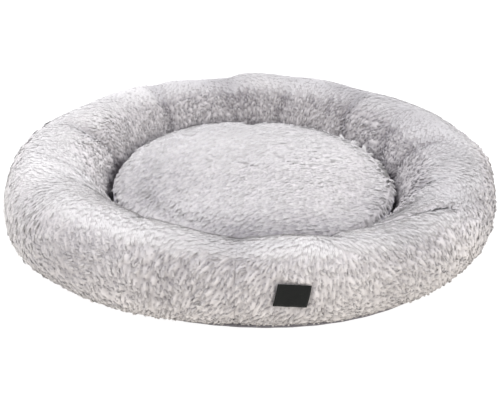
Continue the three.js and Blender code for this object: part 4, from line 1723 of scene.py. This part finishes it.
def make_sewing_tree():
    tree, wires, given = new_tree("sewing", "Path", SEWING_INPUTS, "Stitches")
    path = wires.node("GeometryNodeMeshToCurve", {}, {"Mesh": given["Path"]})[0]
    cuts = wires.node("GeometryNodeResampleCurve", {"mode": "LENGTH"}, {
        "Curve": path, "Length": given["Pitch"]})[0]
    forward = wires.node("GeometryNodeInputTangent")[0]
    facing = wires.node("FunctionNodeAxesToRotation", {"primary_axis": "X", "secondary_axis": "Z"}, {
        "Primary Axis": forward, "Secondary Axis": (0.0, 0.0, 1.0)})[0]
    size = wires.node("ShaderNodeCombineXYZ", {}, {
        0: given["Length"], 1: given["Thickness"], 2: given["Thickness"]})[0]
    stitch = wires.node("GeometryNodeObjectInfo", {}, {"Object": given["Stitch"]})["Geometry"]
    sewn = wires.node("GeometryNodeInstanceOnPoints", {}, {
        "Points": cuts, "Instance": stitch, "Rotation": facing, "Scale": size})[0]
    end_tree(wires, made_plain(wires, sewn), given["Finish"])
    return tree


sewing_tree = make_sewing_tree()
stitch = make_stitch()


def sew(name, path, ring, pitch, length, thickness, finish, body):
    """Stitches along a row of points, closed where it is a ring."""
    count = len(path)
    pairs = [(i, (i + 1) % count) for i in range(count if ring else count - 1)]
    line = bpy.data.meshes.new("seam_line")
    line.from_pydata(np.asarray(path).tolist(), pairs, [])
    source = bpy.data.objects.new("seam_line", line)
    bpy.context.scene.collection.objects.link(source)
    values = {"Stitch": stitch, "Finish": finish, "Pitch": pitch, "Length": length, "Thickness": thickness}
    seam = grown(name, source, sewing_tree, values)
    bpy.data.objects.remove(source)
    dress(seam, finish, body)


# %% [markdown]
# Underneath, a woven base cloth closes the ring and the well, and its edge is sewn to the sleeve.
# Inside the well lies a plain lining. Both are discs, gathered a little at their seams.

# %% Base and lining
BASE_CLOTH = 2.2 * MM
BASE_EDGE_INSET = 3 * MM
BASE_CLEARANCE = 0.8 * MM
LINING_CLOTH = 1.6 * MM
LINING_LEVEL = FOOT_LEVEL + 0.2 * MM
LINING_RISE = 2 * MM
CLOTH_SPOKES = 240
CLOTH_STEPS = 46
CLOTH_RUFFLES = 60
CLOTH_RUFFLE = 0.5 * MM
CLOTH_RUFFLE_POWER = 14
CLOTH_RISE_POWER = 20
cloth_angles = np.linspace(0, 2 * math.pi, CLOTH_SPOKES, endpoint=False)[:, None]
cloth_shares = np.linspace(0, 1, CLOTH_STEPS)


def flat_round(name, radius, level, thickness, rise):
    """A round cloth with a thickness, its edge gathered into small ruffles."""
    ruffle = CLOTH_RUFFLE * (0.5 + 0.5 * np.cos(CLOTH_RUFFLES * cloth_angles))
    height = level + rise * cloth_shares**CLOTH_RISE_POWER + ruffle * cloth_shares**CLOTH_RUFFLE_POWER
    upper = around(radius * cloth_shares, cloth_angles, height + thickness)
    lower = around(radius * cloth_shares, cloth_angles, height)
    return round_shell(name, upper, lower)


def disc_area(radius):
    return float(np.pi * np.mean(radius**2))


base_radius = rim_radius(cloth_angles) - base_tuck(cloth_angles) + BASE_EDGE_INSET
base = dress(flat_round("base_cloth_disc", base_radius, BASE_CLEARANCE, BASE_CLOTH, 0.0), base_finish,
             "bed", ["base_panel"])
across = float(2 * base_radius.max())
disc_area(base_radius)
lining_radius = wall_radius(cloth_angles) - GATHER_DEPTH
lining = dress(flat_round("well_lining", lining_radius, LINING_LEVEL, LINING_CLOTH, LINING_RISE),
               lining_finish, "bed", ["floor_lining"])
across = float(2 * lining_radius.max())
disc_area(lining_radius)

# %% [markdown]
# Rubber dots under the base keep the bed from sliding. They stand on a square grid, and only those that
# lie well inside the base's edge are kept.

# %% Grip dots
DOT_PITCH = 24 * MM
DOT_RADIUS = 2.2 * MM
DOT_HEIGHT = 0.7 * MM
DOT_SIDES = 10
DOT_RINGS = [(1.0, 0.0), (0.85, 0.6), (0.45, 0.95)]
DOT_LEVEL = BASE_CLEARANCE + 0.05 * MM
DOT_MARGIN = 14 * MM
DOTTING_INPUTS = [
    ("Dot", "Object"), ("Finish", "Material"), ("Pitch", "Float"), ("Reach", "Float"), ("Level", "Float"),
]


def make_dot():
    turns = np.arange(DOT_SIDES) * 2 * math.pi / DOT_SIDES
    points = [(size * math.cos(turn) * DOT_RADIUS, size * math.sin(turn) * DOT_RADIUS, -drop * DOT_HEIGHT)
              for size, drop in DOT_RINGS for turn in turns]
    points += [(0, 0, -DOT_HEIGHT), (0, 0, 0)]
    faces = grid_faces(len(DOT_RINGS), DOT_SIDES, ring_columns=True)
    last = (len(DOT_RINGS) - 1) * DOT_SIDES
    for side in range(DOT_SIDES):
        after = (side + 1) % DOT_SIDES
        faces.append([len(points) - 2, last + side, last + after])
        faces.append([len(points) - 1, after, side])
    dot = new_object("dot", points, faces)
    bpy.context.scene.collection.objects.unlink(dot)
    return dot


def make_dotting_tree():
    tree, wires, given = new_tree("dotting", "Source", DOTTING_INPUTS, "Dots")
    count = wires.maths("FLOOR", given["Reach"] * 2 / given["Pitch"], 0.0)
    side = (count - 1) * given["Pitch"]
    grid = wires.node("GeometryNodeMeshGrid", {}, {
        "Size X": side, "Size Y": side, "Vertices X": count, "Vertices Y": count})[0]
    lifted = wires.node("ShaderNodeCombineXYZ", {}, {2: given["Level"]})[0]
    grid = wires.node("GeometryNodeSetPosition", {}, {"Geometry": grid, "Offset": lifted})[0]
    place = wires.node("GeometryNodeInputPosition")[0]
    out = wires.node("ShaderNodeVectorMath", {"operation": "LENGTH"}, {0: place})[1]
    dots = wires.node("GeometryNodeInstanceOnPoints", {}, {
        "Points": grid, "Selection": wires.maths("LESS_THAN", out, given["Reach"]),
        "Instance": wires.node("GeometryNodeObjectInfo", {}, {"Object": given["Dot"]})["Geometry"]})[0]
    end_tree(wires, made_plain(wires, dots), given["Finish"])
    return tree


values = {"Dot": make_dot(), "Finish": grip_finish, "Pitch": DOT_PITCH, "Level": DOT_LEVEL,
          "Reach": float(base_radius.min()) - DOT_MARGIN}
source = new_object("dot_source", [(0, 0, 0)], [])
dress(grown("base_grip_dots", source, make_dotting_tree(), values), grip_finish, "bed")
bpy.data.objects.remove(source)

# %% [markdown]
# Thread holds the bed together: round the base, round the lining, round the cushion, where its top and
# its underside meet, and in black along the two short ends of the label.

# %% Seams
SEAM_PITCH = 5 * MM
SEAM_STITCH = 3.6 * MM
SEAM_THREAD = 0.8 * MM
BASE_SEAM_INSET = 4 * MM
LINING_SEAM_INSET = 6 * MM
CUSHION_THREAD = 0.9 * MM
CUSHION_SEAM_SPREAD = 1.006
CUSHION_SEAM_DROP = 2.5 * MM
LABEL_SEAM_INSET = 2.2 * MM
LABEL_SEAM_SINK = 0.3 * MM
LABEL_SEAM_SHARE = 0.46
LABEL_SEAM_POINTS = 20
LABEL_PITCH = 2.2 * MM
LABEL_STITCH = 1.7 * MM
LABEL_THREAD = 0.5 * MM

base_line = around(base_radius - BASE_SEAM_INSET, cloth_angles, BASE_CLEARANCE)[:, 0]
sew("base_seam", base_line, True, SEAM_PITCH, SEAM_STITCH, SEAM_THREAD, thread_finish, "bed")
lining_level = FOOT_LEVEL + LINING_CLOTH + SEAM_THREAD
lining_line = around(lining_radius - LINING_SEAM_INSET, cloth_angles, lining_level)[:, 0]
sew("lining_seam", lining_line, True, SEAM_PITCH, SEAM_STITCH, SEAM_THREAD, thread_finish, "bed")
seam_line = cushion_top[:, -1] * (CUSHION_SEAM_SPREAD, CUSHION_SEAM_SPREAD, 1) - (0, 0, CUSHION_SEAM_DROP)
sew("cushion_seam", seam_line, True, SEAM_PITCH, SEAM_STITCH, CUSHION_THREAD, thread_finish, "cushion")
for side, name in ((-1, "label_stitches_left"), (1, "label_stitches_right")):
    up = np.linspace(-LABEL_SEAM_SHARE, LABEL_SEAM_SHARE, LABEL_SEAM_POINTS) * LABEL_HEIGHT
    row = label_place(side * (LABEL_LENGTH / 2 - LABEL_SEAM_INSET), up, LABEL_PROUD - LABEL_SEAM_SINK)
    sew(name, row, False, LABEL_PITCH, LABEL_STITCH, LABEL_THREAD, black_finish, "bed")
bpy.data.objects.remove(stitch)
for lock in list(lock_shelf.objects):
    bpy.data.objects.remove(lock)
bpy.data.collections.remove(lock_shelf)

# %% [markdown]
# The camera stands in front and a little above, as for a catalogue picture. It aims slightly below and
# left of the point it is fitted to, because that point lies above and right of the picture's middle.

# %% Camera
LOOK_POINT = Vector((0, 0, 64 * MM))
LOOK_DISTANCE = 1.8
LOOK_ELEVATION = math.radians(25.8)
AIM_BELOW = math.radians(1.133)
AIM_LEFT = math.radians(0.103)
SENSOR_WIDTH = 36.0
LENS = 77.96

camera_data = bpy.data.cameras.new("camera")
camera_data.sensor_width = SENSOR_WIDTH
camera_data.lens = LENS
camera = bpy.data.objects.new("camera", camera_data)
bpy.context.scene.collection.objects.link(camera)
away = Vector((0, -math.cos(LOOK_ELEVATION), math.sin(LOOK_ELEVATION)))
camera.location = LOOK_POINT + away * LOOK_DISTANCE
camera.rotation_euler = (math.pi / 2 - LOOK_ELEVATION - AIM_BELOW, 0, AIM_LEFT)
bpy.context.scene.camera = camera
print("camera at", [round(x, 3) for x in camera.location])

# %% [markdown]
# Soft studio light: one large lamp overhead, a little behind and to the left, a weaker warm one from
# the front right, and a still weaker warm one from the front left. The world fills in from all round.
# For the camera the floor gives off nearly white light of its own and keeps a faint shadow.

# %% Light and floor
LAMPS = [
    # name, place, size, watts, colour
    ("overhead", (-0.8, 0.8, 2.4), 4.0, 60.0, paint(252, 252, 255)),
    ("front_right", (1.4, -2.4, 0.6), 1.4, 15.0, paint(255, 247, 228)),
    ("front_left", (-1.8, -2.2, 0.6), 1.4, 4.0, paint(255, 247, 232)),
]
WORLD_LIGHT = 0.95
WORLD_COLOUR = paint(250, 250, 255)
FLOOR_COLOUR = paint(250, 247, 238)
FLOOR_GLOW = 0.93
FLOOR_SHADE = (0.25, 0.25, 0.25, 1)
FLOOR_RADIUS = 12.0
FLOOR_SIDES = 64

for name, place, size, watts, colour in LAMPS:
    lamp = bpy.data.lights.new(name, "AREA")
    lamp.shape = "DISK"
    lamp.size = size
    lamp.energy = watts
    lamp.color = colour[:3]
    stand = bpy.data.objects.new(name, lamp)
    stand.location = place
    stand.rotation_euler = Vector(place).to_track_quat("Z", "Y").to_euler()
    bpy.context.scene.collection.objects.link(stand)


def seen_directly(wires):
    """1 for rays from the camera, mirrors and glass."""
    path = wires.node("ShaderNodeLightPath")
    seen = wires.maths("MAXIMUM", path["Is Camera Ray"], path["Is Glossy Ray"])
    return wires.maths("MAXIMUM", seen, path["Is Transmission Ray"])


def light_world():
    world = bpy.data.worlds.new("studio")
    world.use_nodes = True
    bpy.context.scene.world = world
    wires = Wires(world.node_tree)
    background = world.node_tree.nodes["Background"]
    wires.plug(background.inputs["Color"], WORLD_COLOUR)
    seen = seen_directly(wires)
    wires.plug(background.inputs["Strength"], seen * (1 - WORLD_LIGHT) + WORLD_LIGHT)


def lay_floor():
    turns = np.arange(FLOOR_SIDES) * 2 * math.pi / FLOOR_SIDES
    floor = new_object("floor", around(FLOOR_RADIUS, turns, 0.0), [list(range(FLOOR_SIDES))])
    material = bpy.data.materials.new("floor")
    material.use_nodes = True
    material.node_tree.nodes.clear()
    wires = Wires(material.node_tree)
    solid = wires.node("ShaderNodeBsdfDiffuse", {}, {"Color": FLOOR_COLOUR})[0]
    faint = wires.node("ShaderNodeBsdfDiffuse", {}, {"Color": FLOOR_SHADE})[0]
    glow = wires.node("ShaderNodeEmission", {}, {"Strength": FLOOR_GLOW})[0]
    white = wires.node("ShaderNodeAddShader", {}, {0: faint, 1: glow})[0]
    mix = wires.node("ShaderNodeMixShader", {}, {0: seen_directly(wires), 1: solid, 2: white})[0]
    wires.node("ShaderNodeOutputMaterial", {}, {"Surface": mix})
    floor.data.materials.append(material)
    floor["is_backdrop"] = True


light_world()
lay_floor()
bpy.context.scene.view_settings.view_transform = "Standard"

# %% [markdown]
# Last, the sizes of the dressed bed's box are printed beside those of the imported model's box. A
# dressed piece may stand proud of the model only by a little.

# %% Sizes and finish
boxes = {"cad": [list(corner) for corner in CAD_BOX], "visual": [list(corner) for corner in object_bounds()]}
for key, (low, high) in boxes.items():
    print(key, [round(b - a, 4) for a, b in zip(low, high)])
